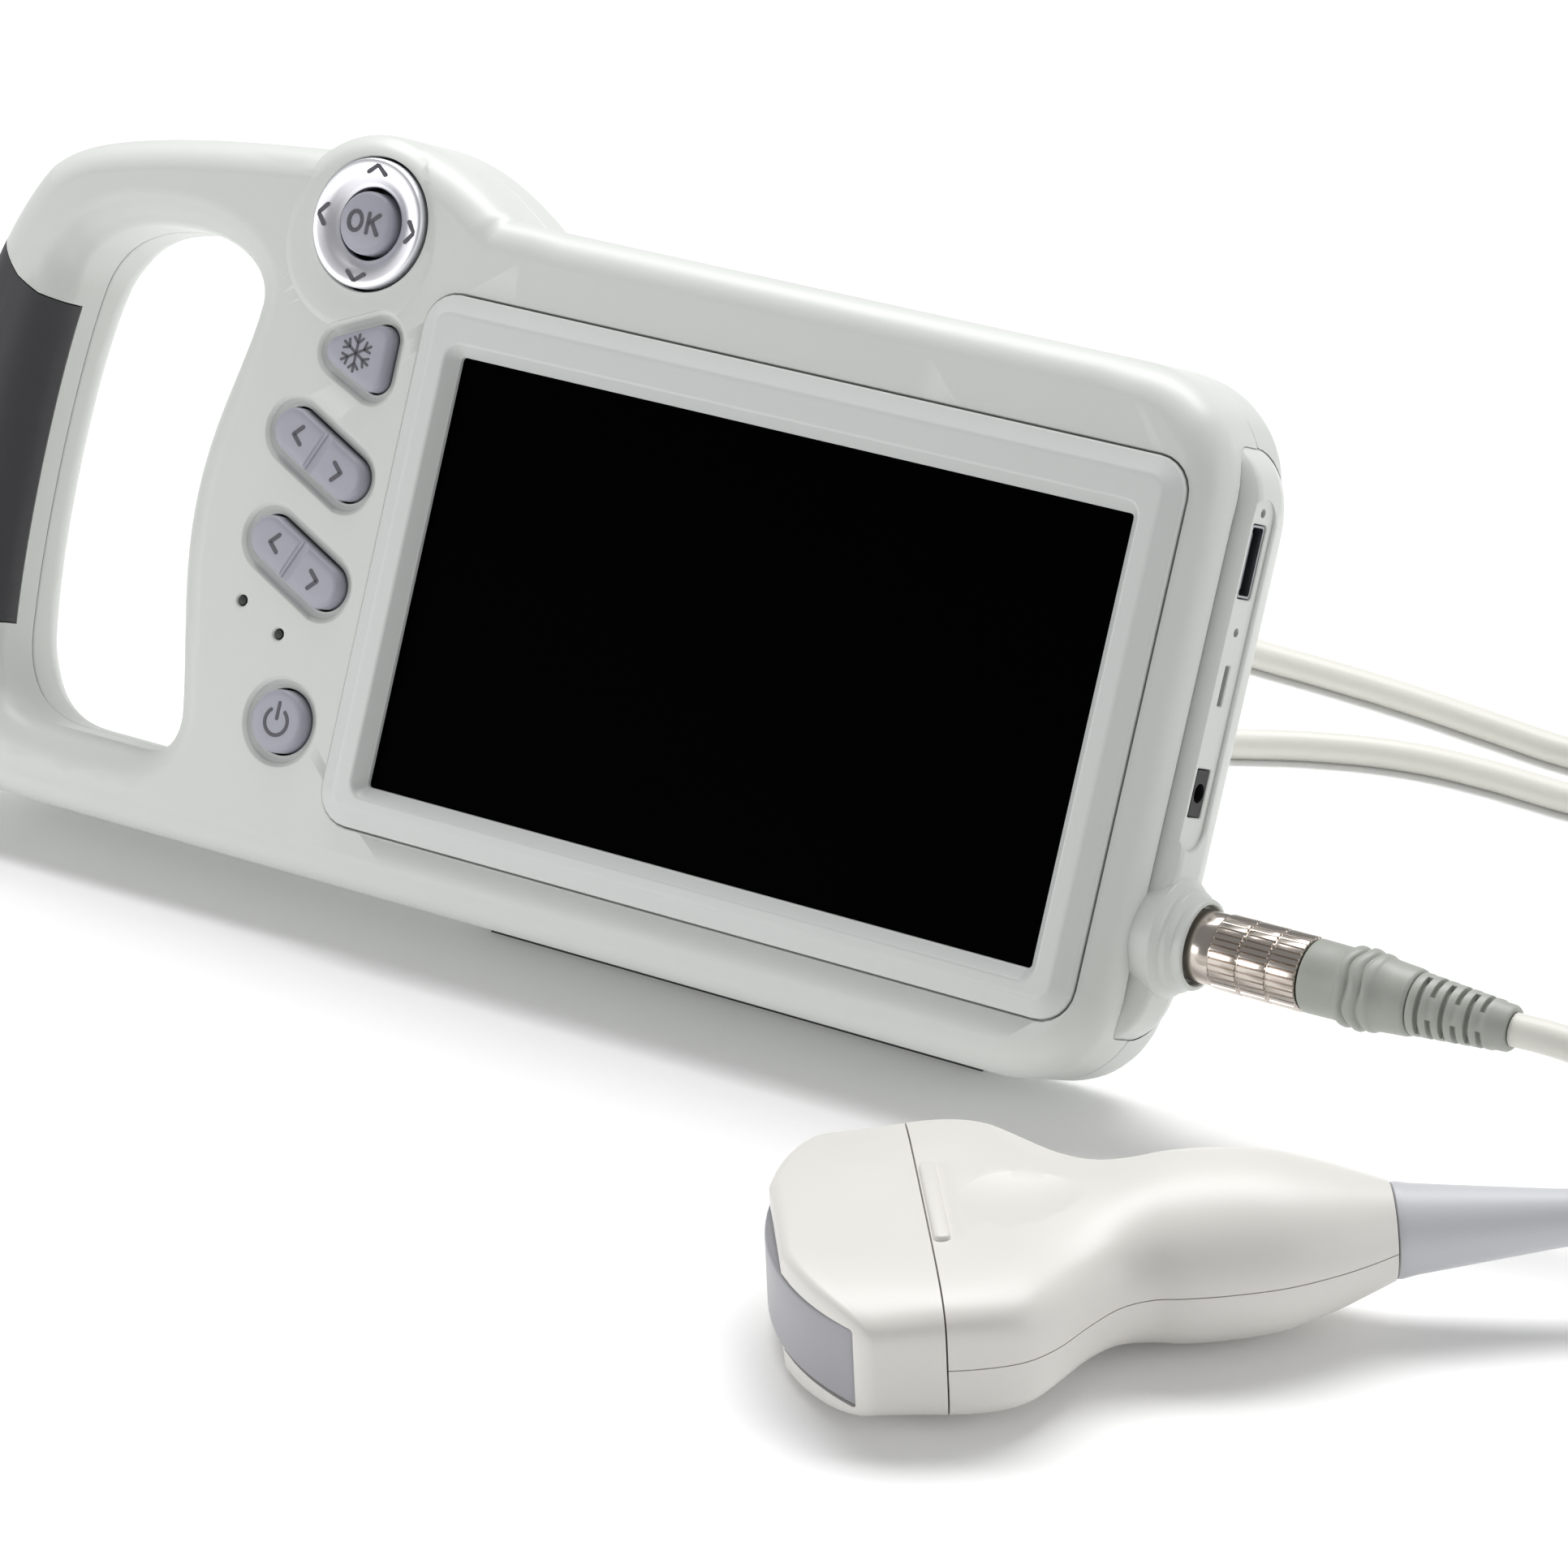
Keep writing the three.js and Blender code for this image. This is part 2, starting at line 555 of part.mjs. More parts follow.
// shapes for sidePrism lie in the plane of the end: first value is minus depth, second is height
const sideRect = (depth, y, halfDepth, halfHeight, radius) => roundRect(
  -depth - halfDepth, -depth + halfDepth, y - halfHeight, y + halfHeight, radius);
const stripFloor = bodyRight + 2.9;
endCap = endCap.subtract(sidePrism(roundRect(-capCentre - 4.4, -capCentre + 4.4, stripBottom, stripTop, 4.3),
  stripFloor, far));
const stripRun = stripTop - stripBottom;
const portY = stripTop - 0.178 * stripRun;
const slotY = stripTop - 0.53 * stripRun;
const jackY = stripTop - 0.835 * stripRun;
const holes = [stripTop - 0.04 * stripRun, stripTop - 0.378 * stripRun];
endCap = endCap
  .subtract(sidePrism(sideRect(capCentre, portY, 2.8, 7.2, 0.8), bodyRight - 20, far))
  .subtract(sidePrism(sideRect(capCentre, slotY, 0.9, 3.9, 0.3), bodyRight - 20, far))
  .subtract(sidePrism(sideRect(capCentre, jackY, 2.6, 4.7, 0.3), bodyRight - 20, far));
for (const y of holes) endCap = endCap.subtract(sidePrism(disc(-capCentre, y, 0.9), bodyRight, far));
add('end_cap', endCap, shellPlastic);

const portFloor = bodyRight - 9;
const dataPort = sidePrism(sideRect(capCentre, portY, 2.5, 6.9, 0.7), portFloor, stripFloor - 0.3)
  .subtract(sidePrism(sideRect(capCentre, portY, 2.1, 6.5, 0.5), portFloor + 3, far))
  .add(sidePrism(sideRect(capCentre, portY, 0.6, 5.4, 0.1), portFloor + 2, stripFloor - 1.5));
add('data_port', dataPort, satinMetal);
add('card_slot', sidePrism(sideRect(capCentre, slotY, 0.6, 3.6, 0.2), portFloor, stripFloor - 1),
  blackPlastic);
const jackHole = new THREE.CylinderGeometry(1.9, 1.9, 9, 16);
jackHole.rotateZ(Math.PI / 2);
jackHole.translate(stripFloor - 3, jackY, capCentre);
add('power_jack', sidePrism(sideRect(capCentre, jackY, 2.3, 4.4, 0.3), portFloor, stripFloor - 0.1)
  .subtract(solid(jackHole)), blackPlastic);
add('probe_socket', alongPlug([[0, bodyRight - 8.6], [6.5, bodyRight - 8.6], [6.5, bossFace - 2.6],
  [5.6, bossFace - 2.6], [5.6, bodyRight - 4], [0, bodyRight - 4]], 20), blackPlastic);

// ---- plug: knurled sleeve, insert, moulded body and bend relief
const sleeveStart = bossFace - 1.2;
const sleeveEnd = bodyRight + 33;
const bands = 3;
const bandStart = sleeveStart + 6;
const bandRun = (sleeveEnd - bandStart) / bands;
const sleeveProfile = [[5.9, sleeveStart], [sleeveRadius - 0.3, sleeveStart],
  [sleeveRadius - 0.2, bandStart - 0.4]];
for (let i = 0; i < bands; i += 1) {
  const at = bandStart + i * bandRun;
  sleeveProfile.push([sleeveRadius, at], [sleeveRadius, at + bandRun - 0.7],
    [sleeveRadius - 0.35, at + bandRun - 0.35]);
}
sleeveProfile.push([5.9, sleeveEnd - 0.35], [5.9, sleeveStart]);
add('plug_sleeve', alongPlug(sleeveProfile, 20), nickel);
add('plug_insert', alongPlug([[0, bodyRight - 3], [5.2, bodyRight - 3], [5.2, sleeveStart - 0.5],
  [5.5, sleeveStart], [5.5, sleeveEnd - 0.35], [0, sleeveEnd - 0.35]], 20), nickel);
const bodyStart = sleeveEnd;
const bodyEnd = bodyStart + 22;
add('plug_body', alongPlug([[0, bodyStart], [6.9, bodyStart], [7.1, bodyStart + 0.6], [7, bodyStart + 7.6],
  [7.7, bodyStart + 8], [7.7, bodyStart + 9.6], [7.1, bodyStart + 10], [7.9, bodyStart + 10.6],
  [7.9, bodyStart + 12.4], [7.1, bodyStart + 12.9], [7.5, bodyStart + 13.4], [7.4, bodyStart + 15],
  [6.9, bodyStart + 15.4], [6.4, bodyEnd], [0, bodyEnd]], 16), greyMould);
const bootStart = bodyEnd + clearance;
const bootEnd = bootStart + 19.5;
const bootProfile = [[0, bootStart], [6, bootStart]];
const ribs = 6;
const ribRun = 15 / ribs;
for (let i = 0; i < ribs; i += 1) {
  const at = bootStart + 1.6 + i * ribRun;
  const radius = 5.9 - 0.2 * i;
  bootProfile.push([radius, at], [radius - 1.3, at + 0.1]);
  bootProfile.push([radius - 1.3, at + 1.1], [radius - 0.2, at + 1.2]);
}
bootProfile.push([4.5, bootEnd - 0.5], [4.1, bootEnd], [0, bootEnd]);
add('plug_boot', alongPlug(bootProfile, 12), greyMould);

// ---- stand, pins, feet
const pivotY = standTop * sinLean - pinLevel * cosLean - footShift;
const pivotZ = standTop * cosLean + pinLevel * sinLean - floorDrop;
const standDrop = pivotZ - legClear;
const standOut = Math.sqrt(standLength * standLength - standDrop * standDrop);
const legAngle = Math.atan2(standOut, standDrop);
const leg = new THREE.Shape();
const halfStand = standWidth / 2;
leg.moveTo(-halfStand, 1.2);
leg.lineTo(-halfStand + 5, -standLength);
leg.lineTo(halfStand - 5, -standLength);
leg.lineTo(halfStand, 1.2);
const cutout = new THREE.Path();
cutout.moveTo(-halfStand + 13, -16);
cutout.lineTo(halfStand - 13, -16);
cutout.lineTo(halfStand - 17, -standLength + 16);
cutout.lineTo(-halfStand + 17, -standLength + 16);
leg.holes.push(cutout);
let stand = prism(leg, -standThickness / 2, standThickness / 2, 0.6, 0, 2, 3);
const knuckle = new THREE.CylinderGeometry(standThickness / 2, standThickness / 2, standWidth, 14);
knuckle.rotateZ(Math.PI / 2);
stand = stand.add(solid(knuckle));
const pinBore = new THREE.CylinderGeometry(standPinRadius + 0.15, standPinRadius + 0.15, standWidth + 4, 12);
pinBore.rotateZ(Math.PI / 2);
const pinCuts = solid(pinBore).intersect(box(-far, -halfStand + 8, -far, far, -far, far))
  .add(solid(pinBore).intersect(box(halfStand - 8, far, -far, far, -far, far)));
stand = stand.subtract(pinCuts);
// leg frame: y up the leg, z to its back; turned into the open pose on the floor
const legMatrix = new THREE.Matrix4().makeBasis(
  new THREE.Vector3(1, 0, 0),
  new THREE.Vector3(0, -Math.sin(legAngle), Math.cos(legAngle)),
  new THREE.Vector3(0, -Math.cos(legAngle), -Math.sin(legAngle)),
).setPosition(standX, pivotY, pivotZ);
const footHalf = halfStand - 9;
add('rear_stand', stand, shellPlastic, legMatrix);
// rubber tip round the end of the leg, cut flat where it meets the floor
const wrapHalf = standThickness / 2 + footWrap;
const shoe = box(-footHalf, footHalf, -standLength - footTip, -standLength + 7, -wrapHalf, wrapHalf)
  .subtract(prism(leg, -standThickness / 2 - clearance, standThickness / 2 + clearance, 0, clearance))
  .transform(legMatrix.elements)
  .intersect(box(-far, far, -far, far, 0, far));
add('stand_foot', shoe, rubber, null);
for (const [name, side] of [['stand_pin_left', -1], ['stand_pin_right', 1]]) {
  const pin = new THREE.CylinderGeometry(standPinRadius, standPinRadius, 7.2 + pinReach, 12);
  pin.rotateZ(Math.PI / 2);
  pin.translate(standX + side * (halfStand - 7.4 + (7.2 + pinReach) / 2), standTop, pinLevel);
  add(name, solid(pin), steel);
}
const strip = box(-58, 58, -2, 4.5, 0, 6);
const grown = consoleBody(-clearance).transform(lean.elements);
const stripParts = strip.subtract(grown).decompose();
stripParts.sort((a, b) => a.boundingBox().min[2] - b.boundingBox().min[2] || b.volume() - a.volume());
add('foot_strip', stripParts[0], rubber, null);
for (let i = 0; i < screwSpots.length; i += 1) {
  const [x, y] = screwSpots[i];
  add(`case_screw_${i + 1}`, turned([[0, partingLevel + 7], [1.2, partingLevel + 7], [1.2, backLevel + 5.3],
    [2.6, backLevel + 5.3], [2.6, backLevel + 3.4], [0, backLevel + 3.4]], 12).translate(x, y, 0), steel);
}

// ---- convex probe, lying on the floor; own frame: x along it to the tail, y across, z up
const probePose = new THREE.Matrix4();

// stations along the probe: distance from the nose shoulder, half width, half height, squareness
const half = headWidth / 2;
const neck = 0.49 * gripWidth;
const stations = [
  [-20, half * 0.99, headHeight / 2, 7],
  [0, half, headHeight / 2, 7],
  [10, half * 1.012, headHeight / 2, 6.5],
  [20, half * 1.02, headHeight / 2, 5.8],
  [28, half * 0.985, headHeight / 2, 4.6],
  [34, half * 0.875, headHeight / 2, 3.3],
  [40, half * 0.7, headHeight / 2 + 0.2, 2.7],
  [46, neck + 2, headHeight / 2 + 1, 2.45],
  [52, neck - 0.1, headHeight / 2 + 2.2, 2.3],
  [58, gripWidth / 2, gripHeight / 2 - 0.4, 2.2],
  [66, gripWidth / 2, gripHeight / 2, 2.1],
  [76, gripWidth / 2 - 1.2, gripHeight / 2 - 0.8, 2.1],
  [0.88 * probeLength, gripWidth / 2 - 4.4, gripHeight / 2 - 3.2, 2.05],
  [0.95 * probeLength, gripWidth / 2 - 7.8, gripHeight / 2 - 5.4, 2],
  [probeLength, gripWidth / 2 - 10.8, gripHeight / 2 - 7, 2],
];

function stationAt(t) {
  let i = 1;
  while (i < stations.length - 1 && stations[i][0] < t) i += 1;
  const [a, b] = [stations[i - 1], stations[i]];
  const before = stations[Math.max(i - 2, 0)];
  const after = stations[Math.min(i + 1, stations.length - 1)];
  const run = b[0] - a[0];
  const f = Math.min(Math.max((t - a[0]) / run, 0), 1);
  return [1, 2, 3].map((k) => {
    const slopeA = i > 1 ? ((b[k] - before[k]) / (b[0] - before[0])) * run : 0;
    const slopeB = i < stations.length - 1 ? ((after[k] - a[k]) / (after[0] - a[0])) * run : (b[k] - a[k]);
    const f2 = f * f;
    const f3 = f2 * f;
    return a[k] * (2 * f3 - 3 * f2 + 1) + slopeA * (f3 - 2 * f2 + f) + b[k] * (3 * f2 - 2 * f3)
      + slopeB * (f3 - f2);
  });
}

// smooth closed body through the stations, shrunk all round by the inset
function probeBody(from, to, inset, around = 24, along = 14) {
  const surface = (u, v, target) => {
    const ends = along + 2;
    const step = Math.round(v * ends);
    const t = step <= 1 ? from : step >= ends - 1 ? to : from + ((to - from) * (step - 1)) / (ends - 2);
    const shut = step === 0 || step === ends ? 0 : 1;
    const [wide, high, square] = stationAt(t);
    const turn = (u % 1) * 2 * Math.PI;
    const power = 2 / square;
    const cos = Math.cos(turn);
    const sin = Math.sin(turn);
    target.set(
      t,
      shut * (wide - inset) * Math.sign(cos) * Math.abs(cos) ** power,
      shut * (high - inset) * Math.sign(sin) * Math.abs(sin) ** power,
    );
  };
  return solid(new ParametricGeometry(surface, around, along + 2));
}

// plan outline of the curved head: an arc of the array radius between two shoulders
function frontArc(radius, halfChord, back) {
  const shape = new THREE.Shape();
  const centre = Math.sqrt(headRadius * headRadius - half * half);
  const spread = Math.asin(Math.min(halfChord / radius, 0.99));
  shape.moveTo(back, -halfChord);
  shape.lineTo(centre - radius * Math.cos(spread), -halfChord);
  shape.absarc(centre, 0, radius, Math.PI + spread, Math.PI - spread, true);
  shape.lineTo(back, halfChord);
  return shape;
}
const headPlan = prism(frontArc(headRadius, half + 0.5, 60), -40, 40, 0, 0, 1, 14)
  .add(box(20, far, -far, far, -40, 40));
const probeOuter = probeBody(-19, probeLength, 0).intersect(headPlan);
const cavityPlan = prism(frontArc(headRadius - 2.4, half - 2.4, 60), -40, 40, 0, 0, 1, 10)
  .add(box(20, far, -far, far, -40, 40));
const probeInner = probeBody(-18, probeLength - 3, 2.2, 16, 10).intersect(cavityPlan);
const cord = cableDiameter / 2;
const tailBore = new THREE.CylinderGeometry(5.4, 5.4, 12, 16);
tailBore.rotateZ(Math.PI / 2);
tailBore.translate(probeLength - 2, 0, 0);
const probeWall = probeOuter.subtract(probeInner).subtract(solid(tailBore));

// the lens sits in a slot in the front of the nose
const lensSlot = (grow) => prism(frontArc(headRadius + 6, half + 8, 8), -lensHeight / 2 - grow,
  lensHeight / 2 + grow, 0, 0, 1, 6)
  .subtract(prism(frontArc(headRadius - 4, half - 3.4, 60), -40, 40, 0, 0, 1, 10));
const lensRaise = prism(frontArc(headRadius + 1.1, half - 1.2, 60), -40, 40, 0, 0, 1, 14);
const lensShape = probeBody(-19, 30, -1.1, 24, 5).intersect(lensRaise);
const nose = probeWall.intersect(box(-far, noseLength - clearance / 2, -far, far, -far, far))
  .subtract(lensSlot(clearance).intersect(box(-far, 6, -half + 1.6, half - 1.6, -far, far)));
const lens = lensShape.intersect(lensSlot(0)).intersect(box(-far, 5.7, -half + 1.9, half - 1.9, -far, far));
const shellPart = probeWall.intersect(box(noseLength + clearance / 2, far, -far, far, -far, far));
const marker = prism(roundRect(noseLength + 1.2, noseLength + 4, -15, 15, 1.2),
  headHeight / 2 - 1, headHeight / 2 + 1.1, 0.4, 0, 1, 3);
const topShell = shellPart.intersect(box(-far, far, -far, far, clearance / 2, far)).add(marker);
const bottomShell = shellPart.intersect(box(-far, far, -far, far, -far, -clearance / 2));

const arrayArc = (outer, inner, halfChord, tall) => prism(frontArc(outer, halfChord, 60),
  -tall, tall, 0, 0, 1, 8).subtract(prism(frontArc(inner, halfChord + 6, 90), -40, 40, 0, 0, 1, 8));
const crystal = arrayArc(headRadius - 4.5, headRadius - 6, 30, 5);
const backing = arrayArc(headRadius - 6.4, headRadius - 14, 29, 6.2);

probePose.makeRotationY((-probeTilt * Math.PI) / 180);
probePose.premultiply(new THREE.Matrix4().makeRotationZ((probeHeading * Math.PI) / 180));
const resting = probeOuter.transform(probePose.elements).boundingBox().min[2];
probePose.premultiply(new THREE.Matrix4().makeTranslation(probeX, probeY, -resting));
add('probe_nose', nose, probePlastic, probePose);
add('probe_lens', lens, lensSilicone, probePose);
add('probe_top_shell', topShell, probePlastic, probePose);
add('probe_bottom_shell', bottomShell, probePlastic, probePose);
add('crystal_array', crystal, satinMetal, probePose);
add('array_backing', backing, blackPlastic, probePose);
add('probe_board', box(18, 78, -11, 11, -0.8, 0.8).add(box(30, 52, -7, 7, 0.5, 2.4)),
  boardLaminate, probePose);

const bootRun = 48;
const relief = [[0, -6], [5.1, -6], [5.1, 0.3], [8.7, 0.3], [8.7, 1.5], [5.3, 30], [4.1, bootRun],
  [0, bootRun]];
const reliefGeometry = new THREE.LatheGeometry(relief.map(([r, x]) => new THREE.Vector2(r, x)), 24);
reliefGeometry.rotateZ(-Math.PI / 2);
reliefGeometry.translate(probeLength, 0, 0);
add('probe_boot', solid(reliefGeometry), bootRubber, probePose);

// ---- cable: out of the plug, a turn on the floor, a coil behind the console, back to the probe
const plugExit = new THREE.Vector3(bootEnd + clearance, -plugDrop, -plugDepth).applyMatrix4(lean);
const probeExit = new THREE.Vector3(probeLength + bootRun + clearance, 0, 0).applyMatrix4(probePose);
const coilX = -75;
const coilY = 166;
const coilThick = 2 * cableDiameter;
const coilSide = coilRadius + coilThick / 2 + cord + clearance;

function tube(name, points, steps) {
  const curve = new THREE.CatmullRomCurve3(points, false, 'centripetal');
  const circle = new THREE.Shape();
  circle.absarc(0, 0, cord, 0, 2 * Math.PI);
  const geometry = new THREE.ExtrudeGeometry(circle, {
    steps,
    curveSegments: 4,
    extrudePath: curve,
    bevelEnabled: false,
  });
  add(name, solid(geometry), cableJacket, null);
}
const at = (x, y, z) => new THREE.Vector3(x, y, z);
const past = (start, x, y, z) => start.clone().add(at(x, y, z));

tube('cord_plug_run', [
  plugExit, past(plugExit, 9, 0, 0), past(plugExit, 19, 0.4, -1.2), past(plugExit, 33, 4, -5.6),
  past(plugExit, 46, 14, -12.5), past(plugExit, 54.5, 30, -20.5), past(plugExit, 58, 49, -28),
  at(228.5, 76, cord + 0.8), at(228, 99, cord), at(225, 122, cord), at(216, 143, cord), at(200, 159.5, cord),
  at(180, 168, cord), at(157, 171, cord), at(128, 171, cord), at(94, 170.2, cord), at(74, 171.8, cord),
  at(56, 171, cord), at(38, 165.5, cord), at(21, 156.5, cord), at(4, 146.5, cord), at(-15, 136, cord),
  at(-35, 127, cord), at(-55, coilY - coilSide + 2, cord), at(coilX, coilY - coilSide, cord),
], 34);
tube('cord_probe_run', [
  probeExit, past(probeExit, 7.4, 5.8, 0.2), past(probeExit, 16, 13.4, -1.6), past(probeExit, 29, 26.5, -6.4),
  past(probeExit, 41, 42, -11.6), at(262, 46, cord + 1), at(268.5, 64, cord), at(271, 84, cord),
  at(269, 105, cord), at(262.5, 126, cord), at(251.5, 147, cord), at(236, 165.5, cord), at(215, 179.5, cord),
  at(191, 187.8, cord), at(165, 191, cord), at(137, 191.8, cord), at(110, 191.4, cord), at(82, 191.6, cord),
  at(62, 195, cord), at(41, 198.6, cord), at(20, 201, cord), at(0, 202.6, cord), at(-25, 206.2, cord),
  at(-50, coilY + coilSide - 1, cord), at(coilX, coilY + coilSide, cord),
], 36);
const halfThick = coilThick / 2;
const bundle = new THREE.LatheGeometry([
  new THREE.Vector2(coilRadius - halfThick, 2.4), new THREE.Vector2(coilRadius - halfThick + 2.4, 0),
  new THREE.Vector2(coilRadius + halfThick - 2.4, 0), new THREE.Vector2(coilRadius + halfThick, 2.4),
  new THREE.Vector2(coilRadius + halfThick, coilThick - 2.4),
  new THREE.Vector2(coilRadius + halfThick - 2.4, coilThick),
  new THREE.Vector2(coilRadius - halfThick + 2.4, coilThick),
  new THREE.Vector2(coilRadius - halfThick, coilThick - 2.4),
  new THREE.Vector2(coilRadius - halfThick, 2.4),
], 24);
bundle.rotateX(Math.PI / 2);
bundle.translate(coilX, coilY, 0);
add('cord_coil', solid(bundle), cableJacket, null);

export default group;
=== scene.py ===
import math

import bmesh
import bpy
from mathutils import Matrix, Vector


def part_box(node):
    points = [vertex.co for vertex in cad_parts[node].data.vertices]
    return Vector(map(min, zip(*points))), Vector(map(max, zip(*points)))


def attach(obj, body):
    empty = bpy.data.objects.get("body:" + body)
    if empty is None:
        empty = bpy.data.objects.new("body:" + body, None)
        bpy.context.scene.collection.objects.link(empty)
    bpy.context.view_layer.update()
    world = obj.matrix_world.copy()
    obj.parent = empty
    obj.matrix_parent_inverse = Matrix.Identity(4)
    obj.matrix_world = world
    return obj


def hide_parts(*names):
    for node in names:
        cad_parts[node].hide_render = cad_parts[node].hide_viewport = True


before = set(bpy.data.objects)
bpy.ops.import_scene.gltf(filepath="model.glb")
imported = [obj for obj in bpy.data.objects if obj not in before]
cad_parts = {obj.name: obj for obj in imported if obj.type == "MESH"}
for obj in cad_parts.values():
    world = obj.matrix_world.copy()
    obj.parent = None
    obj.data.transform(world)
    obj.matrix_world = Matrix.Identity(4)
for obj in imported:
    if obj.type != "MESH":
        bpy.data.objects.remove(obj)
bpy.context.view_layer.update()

# Handheld ultrasound scanner with a convex probe. Console pieces are modelled in millimetres in the
# console's own face frame (x along the screen, y up the face, z out of the glass, zero at the middle of
# the screen) and then set down in the room, in metres. The probe has its own frame in the same way.

mm = 0.001


def deselectAll():
    for thing in bpy.context.selected_objects:
        thing.select_set(False)


def pick(piece):
    deselectAll()
    piece.select_set(True)
    bpy.context.view_layer.objects.active = piece


deselectAll()

# ---- placing: the two frames come from the CAD nodes
screenLow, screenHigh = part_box("screen_window")
leanAngle = math.radians(23.3)
sinLean, cosLean = math.sin(leanAngle), math.cos(leanAngle)
faceTurn = Matrix(((1, 0, 0), (0, sinLean, -cosLean), (0, cosLean, sinLean))).to_4x4()
glassMiddle = Vector((0, 2.0, -1.7))          # middle of the window node in the face frame
windowMiddle = (screenLow + screenHigh) / 2
faceOrigin = windowMiddle - faceTurn @ (glassMiddle * mm)
facePlace = Matrix.Translation(faceOrigin) @ faceTurn @ Matrix.Scale(mm, 4)

probe = {"x": 95.5, "y": -107.0, "heading": 38, "tilt": 2.5, "rest": 13.196, "length": 97}
probePlace = (Matrix.Translation((probe["x"] * mm, probe["y"] * mm, probe["rest"] * mm))
              @ Matrix.Rotation(math.radians(probe["heading"]), 4, "Z")
              @ Matrix.Rotation(math.radians(-probe["tilt"]), 4, "Y") @ Matrix.Scale(mm, 4))


def settle(piece, place):
    # sets a finished piece down and leaves its object at the origin
    piece.matrix_world = place @ piece.matrix_world
    pick(piece)
    bpy.ops.object.transform_apply(location=True, rotation=True, scale=True)


# ---- camera
view = {"azimuth": 33.601, "elevation": 23.454, "place": (693.75, -1027.53, 583.37), "lens": 160.25}
bpy.ops.object.camera_add(location=[v * mm for v in view["place"]])
camera = bpy.context.object
camera.rotation_euler = (math.radians(90 - view["elevation"]), 0, math.radians(view["azimuth"]))
camera.data.lens = view["lens"]
camera.data.sensor_width = 36
camera.data.clip_end = 20
bpy.context.scene.camera = camera
print("camera placed")


# ---- colours and material nodes
def colour(code):
    # sRGB hex to linear
    steps = [int(code[i:i + 2], 16) / 255 for i in (0, 2, 4)]
    return [s / 12.92 if s <= 0.04045 else ((s + 0.055) / 1.055) ** 2.4 for s in steps] + [1]


def addNode(tree, kind, settings=None, links=None):
    # a setting that is named like a socket sets the socket, any other sets the node itself
    node = tree.nodes.new(kind)
    for key, value in (settings or {}).items():
        if key in node.inputs:
            node.inputs[key].default_value = value
        else:
            setattr(node, key, value)
    for key, source in (links or {}).items():
        tree.links.new(source, node.inputs[key])
    return node


def newMaterial(name, base, roughness, metallic=0.0, grain=0.0, grainSize=0.25, depth=0.02, mottle=0.03,
                roughSpread=0.06, **extra):
    # grain is the strength of the moulded texture, grainSize its size in mm, depth its height in mm
    made = bpy.data.materials.new(name)
    made.use_nodes = True
    tree = made.node_tree
    shader = tree.nodes["Principled BSDF"]
    shader.inputs["Metallic"].default_value = metallic
    for key, value in extra.items():
        shader.inputs[key.replace("_", " ")].default_value = value
    place = addNode(tree, "ShaderNodeTexCoord")
    clouds = addNode(tree, "ShaderNodeTexNoise", {"Scale": 45.0, "Detail": 4.0},
                     {"Vector": place.outputs["Object"]})
    dark = [c * (1 - mottle) for c in colour(base)[:3]] + [1]
    light = [min(1, c * (1 + mottle)) for c in colour(base)[:3]] + [1]
    tint = addNode(tree, "ShaderNodeMix", {"data_type": "RGBA"}, {"Factor": clouds.outputs["Fac"]})
    tint.inputs[6].default_value = dark
    tint.inputs[7].default_value = light
    tree.links.new(tint.outputs[2], shader.inputs["Base Color"])
    gloss = addNode(tree, "ShaderNodeMapRange", {"From Min": 0.3, "From Max": 0.7,
                                                 "To Min": roughness - roughSpread / 2,
                                                 "To Max": roughness + roughSpread / 2},
                    {"Value": clouds.outputs["Fac"]})
    tree.links.new(gloss.outputs["Result"], shader.inputs["Roughness"])
    if grain:
        fine = addNode(tree, "ShaderNodeTexNoise", {"Scale": 1000 / grainSize / 2, "Detail": 2.0},
                       {"Vector": place.outputs["Object"]})
        bump = addNode(tree, "ShaderNodeBump", {"Strength": grain, "Distance": depth * mm},
                       {"Height": fine.outputs["Fac"]})
        tree.links.new(bump.outputs["Normal"], shader.inputs["Normal"])
    return made


# ABS, injection moulded in a spark-eroded tool: satin, with a fine even grain
mouldedAbs = newMaterial("mouldedAbs", "D6D9D5", 0.4, grain=0.35, grainSize=0.55, depth=0.05, mottle=0.012)
# the screen frame comes from a finer tool, so it is a little smoother and brighter
frameAbs = newMaterial("frameAbs", "D3D6D4", 0.36, grain=0.2, grainSize=0.45, depth=0.04, mottle=0.01)
# polished probe housing ABS, warm white, almost no grain
probeAbs = newMaterial("probeAbs", "DDDBD6", 0.4, grain=0.12, grainSize=0.6, depth=0.03, mottle=0.01)
# soft-touch TPE overmould: dark, matt, with a tight grain
gripTpe = newMaterial("gripTpe", "3C3B3F", 0.62, grain=0.5, grainSize=0.5, depth=0.06, mottle=0.04)
# keys in painted silicone with a hard lacquer: lilac grey with a soft sheen
lacqueredSilicone = newMaterial("lacqueredSilicone", "A6A6B2", 0.42, grain=0.15, grainSize=0.35, depth=0.02,
                                mottle=0.012)
# printed key symbols: flat dark grey ink without shine
keyInk = newMaterial("keyInk", "56545C", 0.55, mottle=0.05)
# turned aluminium with satin anodising: a bright metal with a soft, spread reflection
anodisedAluminium = newMaterial("anodisedAluminium", "F3F3F8", 0.46, metallic=1.0, mottle=0.02,
                                roughSpread=0.1)
# nickel plating on turned brass: warm, glossy
nickelPlate = newMaterial("nickelPlate", "CFC6BE", 0.2, metallic=1.0, mottle=0.04, roughSpread=0.1)
# overmoulded PVC plug body: grey green, satin
mouldedPvc = newMaterial("mouldedPvc", "A6A9A2", 0.45, grain=0.2, grainSize=0.4, depth=0.03, mottle=0.015)
